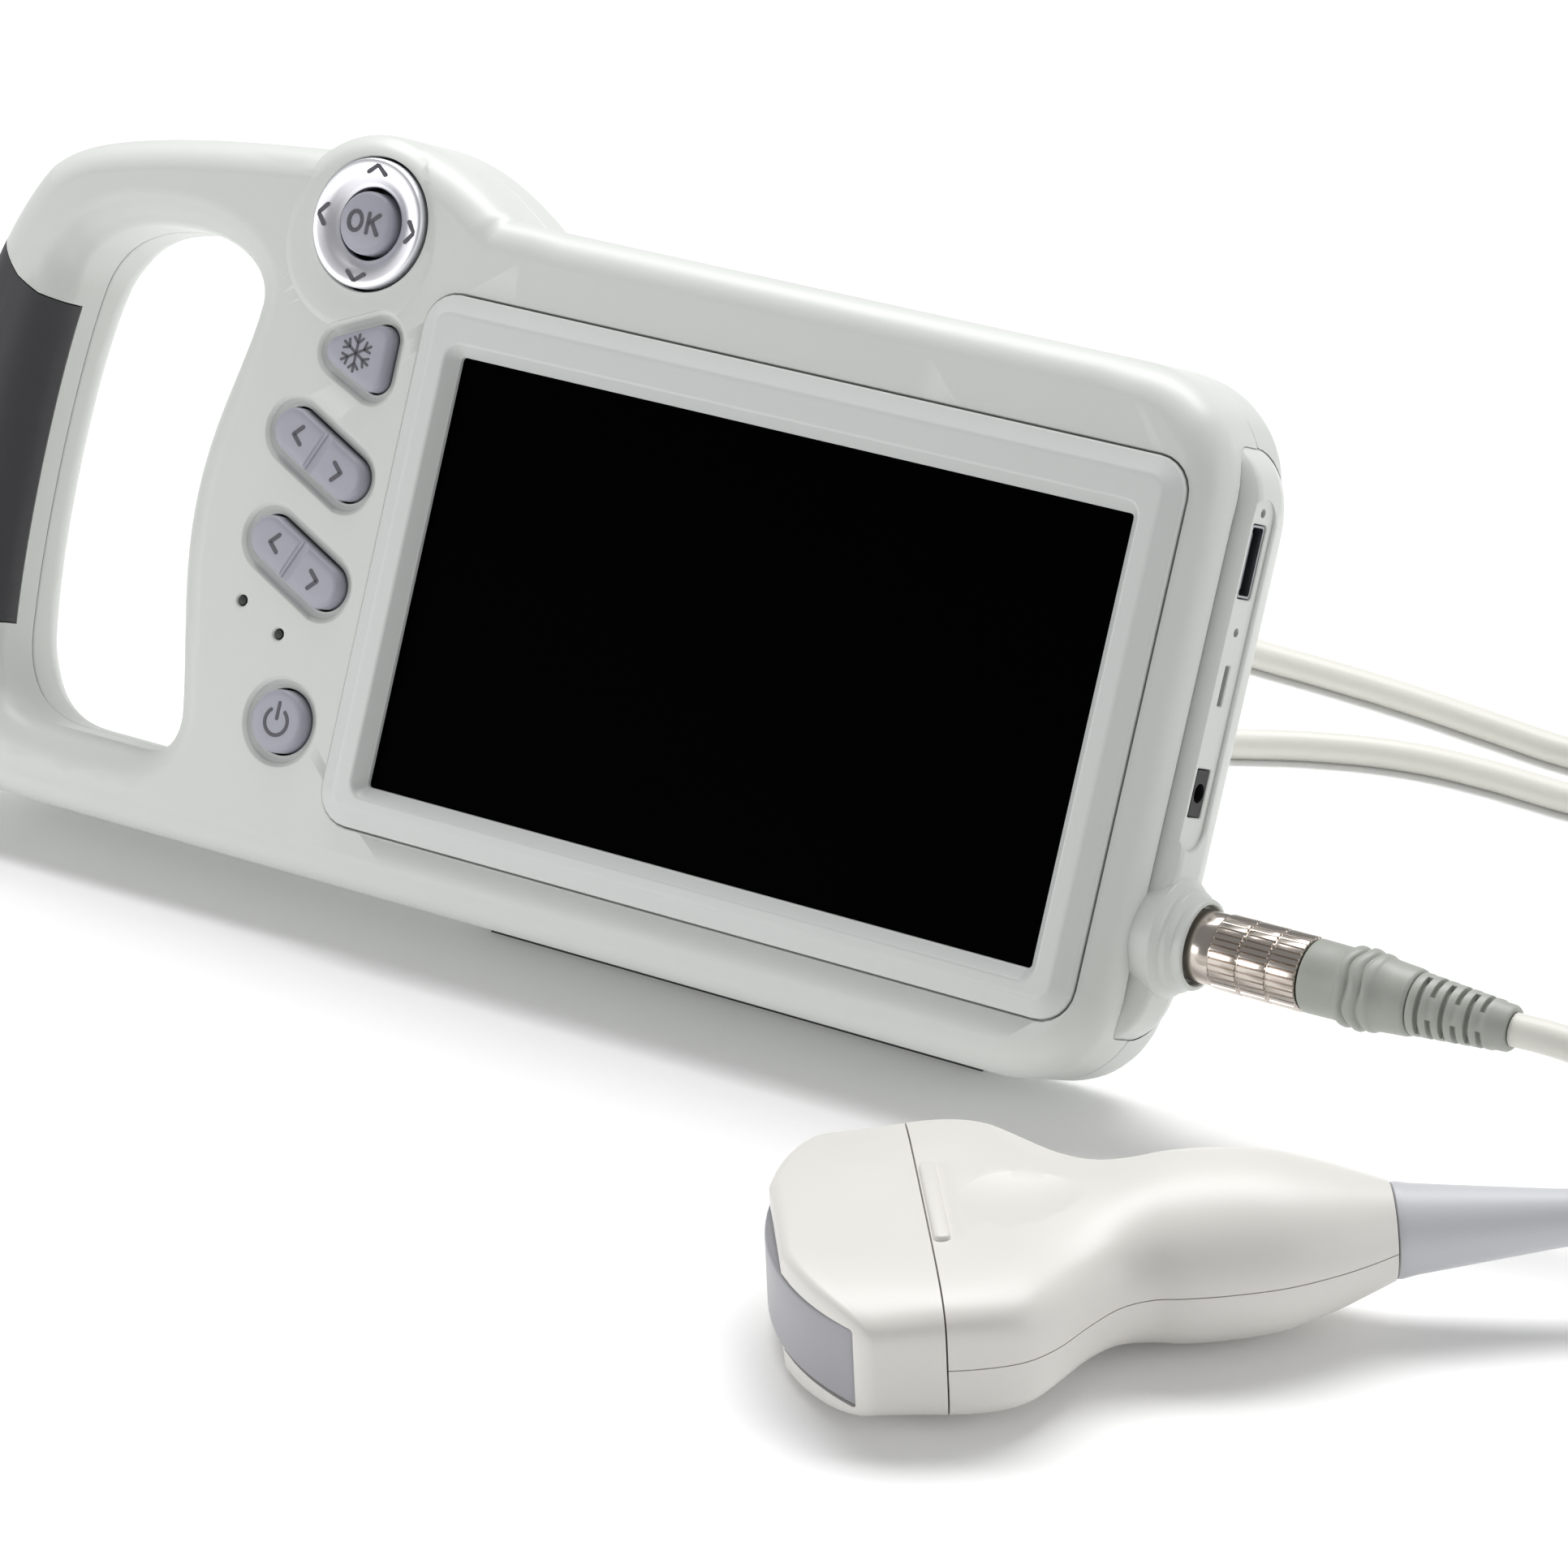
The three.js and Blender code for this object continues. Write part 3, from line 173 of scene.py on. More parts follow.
# bend relief rubber at the probe: cool light grey, dull
reliefRubber = newMaterial("reliefRubber", "C4C5C9", 0.48, grain=0.25, grainSize=0.5, depth=0.03, mottle=0.02)
# silicone cable jacket: off-white, slightly dull
siliconeJacket = newMaterial("siliconeJacket", "DCDBD4", 0.46, grain=0.15, grainSize=0.6, depth=0.03,
                             mottle=0.015)
# acoustic lens silicone: smooth cool grey
lensSilicone = newMaterial("lensSilicone", "9B9BA0", 0.38, grain=0.1, grainSize=0.5, depth=0.02, mottle=0.02)
# the unlit panel behind anti-glare glass: black, with a very low reflection
darkGlass = newMaterial("darkGlass", "010101", 0.35, mottle=0.1, Specular_IOR_Level=0.004)
# dark PBT socket bodies
socketPbt = newMaterial("socketPbt", "17171A", 0.5, grain=0.2, grainSize=0.3, depth=0.02, mottle=0.05)
# moulded rubber feet: near black and quite matt; on the strip along the lower front edge the near black also
# stands in for the shadow under that edge, a painted shadow
footRubberAndShadow = newMaterial("footRubberAndShadow", "2B2B2D", 0.8, grain=0.4, grainSize=0.5, depth=0.05, mottle=0.06)
# zinc plated steel screws and pins: grey metal with a light sheen
zincSteel = newMaterial("zincSteel", "9C9EA2", 0.34, metallic=1.0, mottle=0.04, roughSpread=0.12)
# solder resist on the boards: dark green, satin
boardResist = newMaterial("boardResist", "24563A", 0.45, mottle=0.08)
# shrink film round the battery: dark blue grey, slightly glossy
wrapFilm = newMaterial("wrapFilm", "35393F", 0.4, mottle=0.05)


def dress(piece, *materials):
    piece.data.materials.clear()
    for material in materials:
        piece.data.materials.append(material)


def smoothBy(piece, degrees=32):
    pick(piece)
    bpy.ops.object.shade_smooth_by_angle(angle=math.radians(degrees))


def useModifier(piece, kind, **settings):
    pick(piece)
    made = piece.modifiers.new(kind.title(), kind)
    for key, value in settings.items():
        setattr(made, key, value)
    bpy.ops.object.modifier_apply(modifier=made.name)


# ---- cable: out of the probe, round the right of the console, a coil behind it and back to the plug
cable = {"diameter": 6.5, "coilX": -75, "coilY": 166, "inner": 32.75, "outer": 39.25, "entry": 46.05,
         "turns": 3.5, "perTurn": 24, "probeExit": (209.889, -17.63, 19.534),
         "plugExit": (168.95, 3.047, 36.189)}
cordRadius = cable["diameter"] / 2


def fromPoint(start, steps):
    return [Vector(start) + Vector(step) for step in steps]


plugRun = fromPoint(cable["plugExit"], [
    (0, 0, 0), (9, 0, 0), (19, 0.4, -1.2), (33, 4, -5.6), (46, 14, -12.5), (54.5, 30, -20.5), (58, 49, -28),
]) + [Vector(p) for p in [
    (228.5, 76, 4.05), (228, 99, 3.25), (225, 122, 3.25), (216, 143, 3.25), (200, 159.5, 3.25),
    (180, 168, 3.25), (157, 171, 3.25), (128, 171, 3.25), (94, 170.2, 3.25), (74, 171.8, 3.25),
    (56, 171, 3.25), (38, 165.5, 3.25), (21, 156.5, 3.25), (4, 146.5, 3.25), (-15, 136, 3.25),
    (-35, 127, 3.25), (-55, 121.95, 3.25),
]]
probeRun = fromPoint(cable["probeExit"], [
    (0, 0, 0), (7.4, 5.8, 0.2), (16, 13.4, -1.6), (29, 26.5, -6.4), (41, 42, -11.6),
]) + [Vector(p) for p in [
    (262, 46, 4.25), (268.5, 64, 3.25), (271, 84, 3.25), (269, 105, 3.25), (262.5, 126, 3.25),
    (251.5, 147, 3.25), (236, 165.5, 3.25), (215, 179.5, 3.25), (191, 187.8, 3.25), (165, 191, 3.25),
    (137, 191.8, 3.25), (110, 191.4, 3.25), (82, 191.6, 3.25), (62, 195, 3.25), (41, 198.6, 3.25),
    (20, 201, 3.25), (0, 202.6, 3.25), (-25, 206.2, 3.25), (-50, 211.05, 3.25),
]]


def easeInOut(f):
    f = min(max(f, 0), 1)
    return f * f * (3 - 2 * f)


def coilPoints():
    # one cable wound two wide and two high; each turn steps round the one it passes
    points = []
    d = cable["diameter"]
    count = int(cable["turns"] * cable["perTurn"])
    for i in range(count + 1):
        turn = i / cable["perTurn"]
        part = easeInOut((turn % 1) * 4)           # 0 to 1 over the first quarter of the turn
        lowOuter = cable["entry"] - (cable["entry"] - cable["outer"]) * part
        lowInner = cable["outer"] + 0.05 - (cable["outer"] - cable["inner"]) * part
        climb = math.sqrt(max(0, d * d - (lowInner - cable["inner"]) ** 2)) * 1.01
        if turn < 1:
            radius, height = lowOuter, 0
        elif turn < 2:
            radius, height = lowInner, 0
        elif turn < 3:
            radius, height = cable["inner"], climb
        else:
            side = math.sqrt(max(0, d * d - (d - climb) ** 2))
            radius, height = cable["inner"] + side * 1.01, d + 0.1
            over = easeInOut((turn - 3.22) / 0.28)
            if over > 0:
                swing = over * math.pi / 2
                radius = cable["outer"] + (cable["entry"] - cable["outer"]) * math.sin(swing)
                height = (d + 0.1) * math.cos(swing)
        angle = -math.pi / 2 - turn * 2 * math.pi
        points.append(Vector((cable["coilX"] + radius * math.cos(angle),
                              cable["coilY"] + radius * math.sin(angle), cordRadius + height)))
    return points


route = probeRun + coilPoints()[::-1] + plugRun[::-1]
cordLine = bpy.data.curves.new("probe_cable", "CURVE")
cordLine.dimensions = "3D"
spline = cordLine.splines.new("BEZIER")
spline.bezier_points.add(len(route) - 1)
for knot, point in zip(spline.bezier_points, route):
    knot.co = point * mm
    knot.handle_left_type = knot.handle_right_type = "AUTO"
spline.use_smooth = True
cordLine.bevel_depth = cordRadius * mm
cordLine.bevel_resolution = 6
cordLine.resolution_u = 6
cordLine.use_fill_caps = True
probeCable = bpy.data.objects.new("probe_cable", cordLine)
bpy.context.collection.objects.link(probeCable)
dress(probeCable, siliconeJacket)
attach(probeCable, "scanner")
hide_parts("cord_plug_run", "cord_probe_run", "cord_coil")
print("cable laid")


# ---- lofted pieces: a circle is added, its corners are moved to the first section, and each further
# section is extruded from the one before
def loft(name, sections, close=(True, True), ring=False):
    deselectAll()
    bpy.ops.mesh.primitive_circle_add(vertices=len(sections[0]), radius=1)
    piece = bpy.context.object
    piece.name = name
    piece.data.name = name
    bpy.ops.object.mode_set(mode="EDIT")
    shape = bmesh.from_edit_mesh(piece.data)
    shape.verts.ensure_lookup_table()
    order = list(range(len(sections[0])))
    for i, point in zip(order, sections[0]):
        shape.verts[i].co = point
    if close[0] and not ring:
        bpy.ops.mesh.edge_face_add()
        bpy.ops.mesh.select_mode(type="EDGE")
    for section in sections[1:]:
        bpy.ops.mesh.extrude_edges_move()
        shape = bmesh.from_edit_mesh(piece.data)
        shape.verts.ensure_lookup_table()
        fresh = [next(e.other_vert(shape.verts[i]) for e in shape.verts[i].link_edges
                      if e.other_vert(shape.verts[i]).select) for i in order]
        for corner, point in zip(fresh, section):
            corner.co = point
        shape.verts.index_update()
        order = [corner.index for corner in fresh]
    if close[1] and not ring:
        bpy.ops.mesh.edge_face_add()
    bpy.ops.mesh.select_all(action="SELECT")
    if ring:
        bpy.ops.mesh.remove_doubles(threshold=0.0005)
    bpy.ops.mesh.normals_make_consistent(inside=False)
    bpy.ops.object.mode_set(mode="OBJECT")
    return piece


def joinPieces(name, pieces):
    deselectAll()
    for piece in pieces:
        piece.select_set(True)
    bpy.context.view_layer.objects.active = pieces[0]
    bpy.ops.object.join()
    pieces[0].name = name
    return pieces[0]


def cut(piece, tool, operation="DIFFERENCE", keep=False):
    useModifier(piece, "BOOLEAN", operation=operation, solver="EXACT", object=tool)
    if not keep:
        bpy.data.objects.remove(tool)


def bezierRun(a, b, c, d, count):
    run = []
    for i in range(1, count + 1):
        t = i / count
        s = 1 - t
        run.append(tuple(s ** 3 * a[k] + 3 * s * s * t * b[k] + 3 * s * t * t * c[k] + t ** 3 * d[k]
                         for k in (0, 1)))
    return run


def lineRun(a, b, count):
    return [(a[0] + (b[0] - a[0]) * i / count, a[1] + (b[1] - a[1]) * i / count) for i in range(1, count + 1)]


def arcRun(x, y, radius, start, end, count):
    return [(x + radius * math.cos(start + (end - start) * i / count),
             y + radius * math.sin(start + (end - start) * i / count)) for i in range(1, count + 1)]


# ---- console shells
console = {"bezelSide": 87.25, "bezelTop": 55.35, "bezelBottom": -52.35, "right": 93.85, "top": 71.95,
           "bottom": -65.05, "left": -204.25, "face": 0.5, "back": -31.0, "parting": -17.0, "edge": 7.4,
           "barEdge": 11.2, "wall": 2.6, "barWidth": 23.5, "handSpace": 49, "dialX": -105.25, "dialY": 65.2,
           "bossRadius": 22}
face, back, parting = console["face"], console["back"], console["parting"]
bossX, bossY = console["dialX"] - 1.7, console["dialY"] - 3.7


def consoleOutline():
    left, right, top, bottom = (console[k] for k in ("left", "right", "top", "bottom"))
    r = console["bossRadius"]
    dialX = console["dialX"]
    start = (left + 39, bottom)
    run = [start]
    run += lineRun(start, (right - 22, bottom), 30)
    run += bezierRun(run[-1], (right - 9, bottom), (right, bottom + 8), (right, bottom + 22), 16)
    run += lineRun(run[-1], (right, top - 24), 12)
    run += bezierRun(run[-1], (right, top - 10), (right - 10, top), (right - 24, top), 16)
    run += lineRun(run[-1], (dialX + 29.6, top), 20)
    run += bezierRun(run[-1], (dialX + 22, bossY + 15.5), (dialX + 10.5, bossY + r), (bossX, bossY + r), 16)
    run += arcRun(bossX, bossY, r, math.pi / 2, 0.722 * math.pi, 10)
    run += bezierRun(run[-1], (left + 44, top + 3), (left + 22, top - 1.5), (left + 14, top - 8.5), 22)
    run += bezierRun(run[-1], (left + 4, top - 20), (left, top - 42), (left, top - 67), 24)
    run += bezierRun(run[-1], (left, bottom + 34), (left + 4, bottom), start, 30)
    return run[:-1]


def windowOutline():
    left = console["left"] + console["barWidth"]
    right = -console["bezelSide"] - console["handSpace"]
    top = console["top"] - 15.6
    bottom = console["bottom"] + 2 * console["edge"] + 1.6
    middle = (top + bottom) / 2
    start = (left + 21, bottom)
    run = [start]
    run += lineRun(start, (right - 1, bottom), 5)
    run += bezierRun(run[-1], (right + 5, bottom), (right + 8.8, bottom + 3), (right + 8, bottom + 9), 12)
    run += bezierRun(run[-1], (right + 5.5, bottom + 23), (right, middle - 16), (right, middle + 1), 16)
    run += bezierRun(run[-1], (right, middle + 18), (right + 5, top - 24), (right + 5.8, top - 11.5), 16)
    run += bezierRun(run[-1], (right + 6, top - 5), (right - 3, top), (right - 14, top), 14)
    run += bezierRun(run[-1], (left + 15, top), (left + 5, top - 4), (left + 2.3, top - 15), 16)
    run += bezierRun(run[-1], (left - 0.8, top - 31), (left - 0.8, bottom + 38),
                     (left + 2.3, bottom + 16), 24)
    run += bezierRun(run[-1], (left + 4, bottom + 5), (left + 11, bottom), start, 14)
    return run[:-1]


def offsetDirections(run):
    # outward mitre direction at each point of a closed outline that runs anticlockwise
    found = []
    n = len(run)
    for i in range(n):
        ax, ay = run[i][0] - run[i - 1][0], run[i][1] - run[i - 1][1]
        bx, by = run[(i + 1) % n][0] - run[i][0], run[(i + 1) % n][1] - run[i][1]
        la, lb = math.hypot(ax, ay), math.hypot(bx, by)
        na, nb = Vector((ay / la, -ax / la)), Vector((by / lb, -bx / lb))
        mid = (na + nb).normalized()
        found.append(mid / max(mid.dot(na), 0.5))
    return found


def rounding(x, hole):
    # the grip bar is nearly round in section, the rest has the standard edge
    span = (-176, -182) if hole else (-178, -200)
    share = easeInOut((x - span[0]) / (span[1] - span[0]))
    return console["edge"] + (console["barEdge"] - console["edge"]) * share


def sectionAt(run, directions, sign, level):
    # level gives inward shift and height for a point, from its own edge radius
    points = []
    for (x, y), way in zip(run, directions):
        shift, z = level(rounding(x, sign > 0))
        points.append((x + sign * way.x * shift, y + sign * way.y * shift, z))
    return points


def roundLevels(inset, steps, front=True, backwards=False):
    # quarter round between the flat face and the side, set in by the wall for the inner surface
    levels = []
    for i in range(steps + 1):
        turn = i / steps * math.pi / 2

        def level(r, turn=turn):
            own = r - inset
            shift = inset + own * (1 - math.sin(turn))
            drop = inset + own * (1 - math.cos(turn))
            return shift, (face - drop if front else back + drop)
        levels.append(level)
    return levels[::-1] if backwards else levels


def shellPiece(name, front, inset=None):
    # a half shell with its inner surface, or with inset a plain solid of both halves set in by it
    groove = 0.22
    if inset is not None:
        levels = roundLevels(inset, 8) + roundLevels(inset, 6, front=False, backwards=True)
    elif front:
        levels = roundLevels(0, 9)
        levels += [lambda r: (0, parting + 0.5), lambda r: (groove, parting + 0.12)]
        levels += [lambda r: (console["wall"], parting + 0.12)]
        levels += roundLevels(console["wall"], 4, backwards=True)
    else:
        levels = roundLevels(0, 8, front=False)
        levels += [lambda r: (0, parting - 0.5), lambda r: (groove, parting - 0.12)]
        levels += [lambda r: (console["wall"], parting - 0.12)]
        levels += roundLevels(console["wall"], 4, front=False, backwards=True)
    loops = []
    for run, sign, part in ((consoleOutline(), -1, "outer"), (windowOutline(), 1, "hole")):
        directions = offsetDirections(run)
        sections = [sectionAt(run, directions, sign, level) for level in levels]
        loops.append(loft(name + part, sections, close=(False, False)))
    piece = joinPieces(name, loops)
    ends = [levels[0](console["edge"])[1], levels[-1](console["edge"])[1]]
    bpy.ops.object.mode_set(mode="EDIT")
    for end in ends:
        bpy.ops.mesh.select_mode(type="EDGE")
        bpy.ops.mesh.select_all(action="DESELECT")
        shape = bmesh.from_edit_mesh(piece.data)
        for edge in shape.edges:
            if edge.is_boundary and all(abs(v.co.z - end) < 0.01 for v in edge.verts):
                edge.select = True
        bmesh.update_edit_mesh(piece.data)
        bpy.ops.mesh.fill(use_beauty=True)
    bpy.ops.mesh.select_all(action="SELECT")
    bpy.ops.mesh.normals_make_consistent(inside=False)
    bpy.ops.object.mode_set(mode="OBJECT")
    return piece


def roundRectRun(x0, x1, y0, y1, radius, steps=6):
    radius = max(radius, 0.05)
    run = []
    for x, y, start in ((x1 - radius, y0 + radius, -0.5), (x1 - radius, y1 - radius, 0),
                        (x0 + radius, y1 - radius, 0.5), (x0 + radius, y0 + radius, 1)):
        for i in range(steps + 1):
            turn = (start + 0.5 * i / steps) * math.pi
            run.append((x + radius * math.cos(turn), y + radius * math.sin(turn)))
    return run


def atLevel(run, z):
    return [(x, y, z) for x, y in run]


def bezelRun(grow):
    side, top, bottom = console["bezelSide"], console["bezelTop"], console["bezelBottom"]
    return roundRectRun(-side - grow, side + grow, bottom - grow, top + grow, 7 + grow)


# keys: a column that hangs from the dial's middle, each with its outline by how far it is grown
dialX, dialY = console["dialX"], console["dialY"]
keyColumn = 100.75
keySet = {
    "freeze_button": {"kind": "triangle", "x": -100.65, "y": dialY - 0.257 * keyColumn, "body": "freeze_key"},
    "rocker_upper": {"kind": "capsule", "x": dialX, "y": dialY - 0.466 * keyColumn, "body": "upper_rocker"},
    "rocker_lower": {"kind": "capsule", "x": dialX, "y": dialY - 0.685 * keyColumn, "body": "lower_rocker"},
    "power_button": {"kind": "disc", "x": -101.05, "y": dialY - keyColumn, "body": "power_key"},
}
keySize = {"disc": 6.4, "capsule": 4.6, "capsuleSpan": 8, "corner": 3, "triangle": 8.2}
rockerTilt = math.radians(-25.4)


def keyOutline(key, grow):
    x, y = key["x"], key["y"]
    if key["kind"] == "disc":
        return arcRun(x, y, keySize["disc"] + grow, 0, 2 * math.pi, 40)
    if key["kind"] == "capsule":
        dx, dy = keySize["capsuleSpan"] * math.cos(rockerTilt), keySize["capsuleSpan"] * math.sin(rockerTilt)
        r = keySize["capsule"] + grow
        run = arcRun(x + dx, y + dy, r, rockerTilt - math.pi / 2, rockerTilt + math.pi / 2, 20)
        return run + arcRun(x - dx, y - dy, r, rockerTilt + math.pi / 2, rockerTilt + 1.5 * math.pi, 20)
    r = keySize["corner"] + grow
    half = keySize["triangle"] * 0.82 - keySize["corner"]
    tip = keySize["triangle"] - keySize["corner"]
    slope = math.atan2(half, tip * 1.72)
    run = arcRun(x + tip * 0.72, y + half, r, 0, math.pi / 2 + slope, 14)
    run += arcRun(x - tip, y, r, math.pi / 2 + slope, 1.5 * math.pi - slope, 12)
    run += arcRun(x + tip * 0.72, y - half, r, 1.5 * math.pi - slope, 2 * math.pi, 14)
    return run


def circleRun(x, y, radius, count=64):
    return arcRun(x, y, radius, 0, 2 * math.pi, count)


def turnedAt(name, x, y, profile, count=64, close=(True, True), ring=False):
    return loft(name, [atLevel(circleRun(x, y, r, count), z) for r, z in profile], close, ring)


def capRun(grow=0.0, shift=0.0):
    # outline of the end panel, its outer side moved in by shift
    x, top, bottom = console["right"], console["top"] - 11.5 + grow, console["bottom"] + 11 - grow
    g = grow - shift
    run = [(x - 14, bottom + shift)]
    run += lineRun(run[-1], (x - 3.6, bottom + shift), 4)
    run += bezierRun(run[-1], (x + 2 + g, bottom + 3 + shift), (x + 3.4 + g, bottom + 7 + shift),
                     (x + 3.6 + g, bottom + 13 + shift), 12)
    run += lineRun(run[-1], (x + 3.6 + g, top - 13 - shift), 16)
    run += bezierRun(run[-1], (x + 3.4 + g, top - 8 - shift), (x + 2 + g, top - 3.5 - shift),
                     (x - 3.6, top - shift), 12)
    run += lineRun(run[-1], (x - 14, top - shift), 4)
    return run


def capSections(grow):
    levels = ((3.7, -7.2 + grow), (1.7, -8.4), (0.45, -9.7), (0.08, -10.9), (0, -12), (0, -18.5),
              (0.35, -20.5), (1.0, -22.6), (1.9, -24.6), (2.9, -26.4), (3.6, -28 - grow))
    return [atLevel(capRun(grow, shift), z) for shift, z in levels]


frontShell = shellPiece("front_shell", True)
# the dial boss: a low round plateau that stands just proud of the face
boss = turnedAt("boss", bossX, bossY, [
    (12, -1.2), (21.6, -12), (21.93, -11.6), (21.93, -4.4), (21.7, -2.9), (21.1, -1.6), (20.1, -0.5),
    (18.9, 0.25), (17.6, 0.68), (16.4, 0.9), (14, 0.95)], 96)
boreRun = windowOutline()
clearRun = [(x + console["edge"] * way.x, y + console["edge"] * way.y)
            for (x, y), way in zip(boreRun, offsetDirections(boreRun))]
cut(boss, loft("handClear", [atLevel(clearRun, z) for z in (-20, 5)]))
cut(frontShell, boss, "UNION")

cutters = []
for keyName, key in keySet.items():
    sections = [atLevel(keyOutline(key, grow), z) for grow, z in (
        (3.1, face + 2), (3.1, face + 0.02), (2.6, face - 0.1), (2.2, face - 0.34), (1.9, face - 0.7),
        (1.6, face - 1.1), (1.1, face - 1.42), (0.6, face - 1.55), (0.42, face - 1.75), (0.42, -8))]
    cutters.append(loft(keyName + "_well", sections))
cutters.append(turnedAt("dialWell", dialX, dialY, [
    (14.6, 4), (14.2, 1.02), (13.85, 0.9), (13.65, 0.6), (13.6, 0), (13.6, -8)], 80))
for x, y in ((-116.45, dialY - 0.786 * keyColumn), (-106.05, dialY - 0.833 * keyColumn)):
    cutters.append(turnedAt("ledWell", x, y, [
        (1.9, 3), (1.9, face + 0.01), (1.45, face - 0.12), (1.15, face - 0.5), (1.1, -8)], 24))
cutters.append(loft("bezelWell", [atLevel(bezelRun(grow), z) for grow, z in (
    (0.75, 4), (0.75, face), (0.5, face - 0.1), (0.34, face - 0.4), (0.3, face - 1.5))]))
cutters.append(loft("screenWell", [
    atLevel(roundRectRun(-82.9, 82.9, -48.4, 52.4, 1.5), z) for z in (-0.9, -8)]))
for cutter in cutters:
    cut(frontShell, cutter)
capTool = loft("capTool", capSections(0.22))
cut(frontShell, capTool, keep=True)
print("front shell", len(frontShell.data.polygons))

# soft grip let into the front of the bar
padLevel = face - 11


def padRun(grow):
    left, right = console["left"] - 6, console["left"] + console["barWidth"] + 4
    top, bottom = console["top"] - 26 + grow, console["bottom"] + 31 - grow
    inner = console["left"] + console["barWidth"]
    return [(left, bottom - 6), (inner - 9, bottom - 2), (inner - 4, bottom), (right, bottom + 4),
            (right, top - 11), (inner - 3, top - 9.6), (inner - 8, top - 7), (console["left"] + 5, top + 2),
            (left, top + 4)]


padBlock = loft("padBlock", [atLevel(padRun(0), z) for z in (padLevel, 6)])
gripPad = shellPiece("grip_cover", True, inset=0)
cut(gripPad, padBlock, "INTERSECT")
padCore = shellPiece("padCore", True, inset=1.6)
cut(gripPad, padCore, keep=True)
padSeat = loft("padSeat", [atLevel(padRun(0.3), z) for z in (padLevel - 0.3, 7)])
cut(padSeat, padCore)
cut(frontShell, padSeat)

rearShell = shellPiece("rear_shell", False)
cut(rearShell, capTool)
standBox = {"x": -8, "half": 31.6, "top": 31.95, "low": -61.45, "depth": 6.0}
pocketWall = loft("pocketWall", [atLevel(roundRectRun(
    standBox["x"] - standBox["half"] - 2.6, standBox["x"] + standBox["half"] + 2.6,
    max(standBox["low"] - 2.6, -60), standBox["top"] + 2.6, 2), z)
    for z in (back + 0.6, back + standBox["depth"] + 2)])
cut(rearShell, pocketWall, "UNION")
pocket = loft("pocket", [atLevel(roundRectRun(
    standBox["x"] - standBox["half"] - flare, standBox["x"] + standBox["half"] + flare,
    standBox["low"] - flare, standBox["top"] + flare, 1.5 + flare), z) for flare, z in (
        (0.6, back - 4), (0.6, back), (0.25, back + 0.15), (0, back + 0.6), (0, back + standBox["depth"]))])
cut(rearShell, pocket)
for side in (-1, 1):
    for y in (console["top"] - 9.6, console["bottom"] + 7.4):
        x = side * 81.25
        cut(rearShell, turnedAt("screwWell", x, y, [
            (3.6, back - 4), (3.6, back), (3.2, back + 0.3), (3, back + 0.8), (3, back + 3.2),
            (0.4, back + 3.4)], 32))
print("rear shell", len(rearShell.data.polygons))

for piece, material in ((frontShell, mouldedAbs), (rearShell, mouldedAbs), (gripPad, gripTpe)):
    smoothBy(piece, 34)
    useModifier(piece, "WEIGHTED_NORMAL", keep_sharp=True, weight=100)
    dress(piece, material)
    settle(piece, facePlace)
    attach(piece, "scanner")
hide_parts("front_case")
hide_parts("rear_case")
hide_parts("grip_pad")
print("shells done")

# ---- screen frame: sloping rim round the glass
glass = {"halfWide": 77.05, "halfHigh": 43.35}


def glassRun(grow, radius):
    wide, high = glass["halfWide"] + grow, glass["halfHigh"] + grow
    return roundRectRun(-wide, wide, -high, high, radius)


rimSections = [atLevel(bezelRun(-shift), face + up) for shift, up in (
    (0, -1.1), (0, 0.4), (0.12, 0.75), (0.45, 1.0), (3.4, 2.35), (3.9, 2.52), (4.6, 2.6))]
rimSections += [atLevel(glassRun(grow, radius), z) for grow, radius, z in (
    (3.1, 3.6, 3.08), (2.7, 3.3, 2.95), (2.4, 3.1, 2.7), (0.6, 1.3, 0.5), (0.35, 1.0, 0.25), (0.2, 0.8, 0.0),
    (0.2, 0.8, -0.6))]
screenRim = loft("screen_rim", rimSections + rimSections[:1], ring=True)
smoothBy(screenRim, 30)
useModifier(screenRim, "WEIGHTED_NORMAL", keep_sharp=True, weight=100)
dress(screenRim, frameAbs)
settle(screenRim, facePlace)
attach(screenRim, "scanner")
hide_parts("screen_bezel")


# ---- printed symbols: short strokes with round ends, lying on the key tops
def stroke(points, width, z, origin=(0, 0), turn=0.0):
    parts = []
    cos, sin = math.cos(turn), math.sin(turn)
    placed = [(origin[0] + x * cos - y * sin, origin[1] + x * sin + y * cos) for x, y in points]
    for (ax, ay), (bx, by) in zip(placed, placed[1:]):
        deselectAll()
        bpy.ops.mesh.primitive_cube_add(size=1, location=((ax + bx) / 2, (ay + by) / 2, z),
                                        rotation=(0, 0, math.atan2(by - ay, bx - ax)),
                                        scale=(math.hypot(bx - ax, by - ay), width, 0.16))
        parts.append(bpy.context.object)
    for x, y in placed:
        deselectAll()
        bpy.ops.mesh.primitive_cylinder_add(vertices=16, radius=width / 2, depth=0.156, location=(x, y, z))
        parts.append(bpy.context.object)
    return parts


def printed(name, parts, body):
    symbol = joinPieces(name, parts)
    dress(symbol, keyInk)
    settle(symbol, facePlace)
    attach(symbol, body)
    return symbol


chevron = [(1.05, 1.75), (-0.85, 0), (1.05, -1.75)]

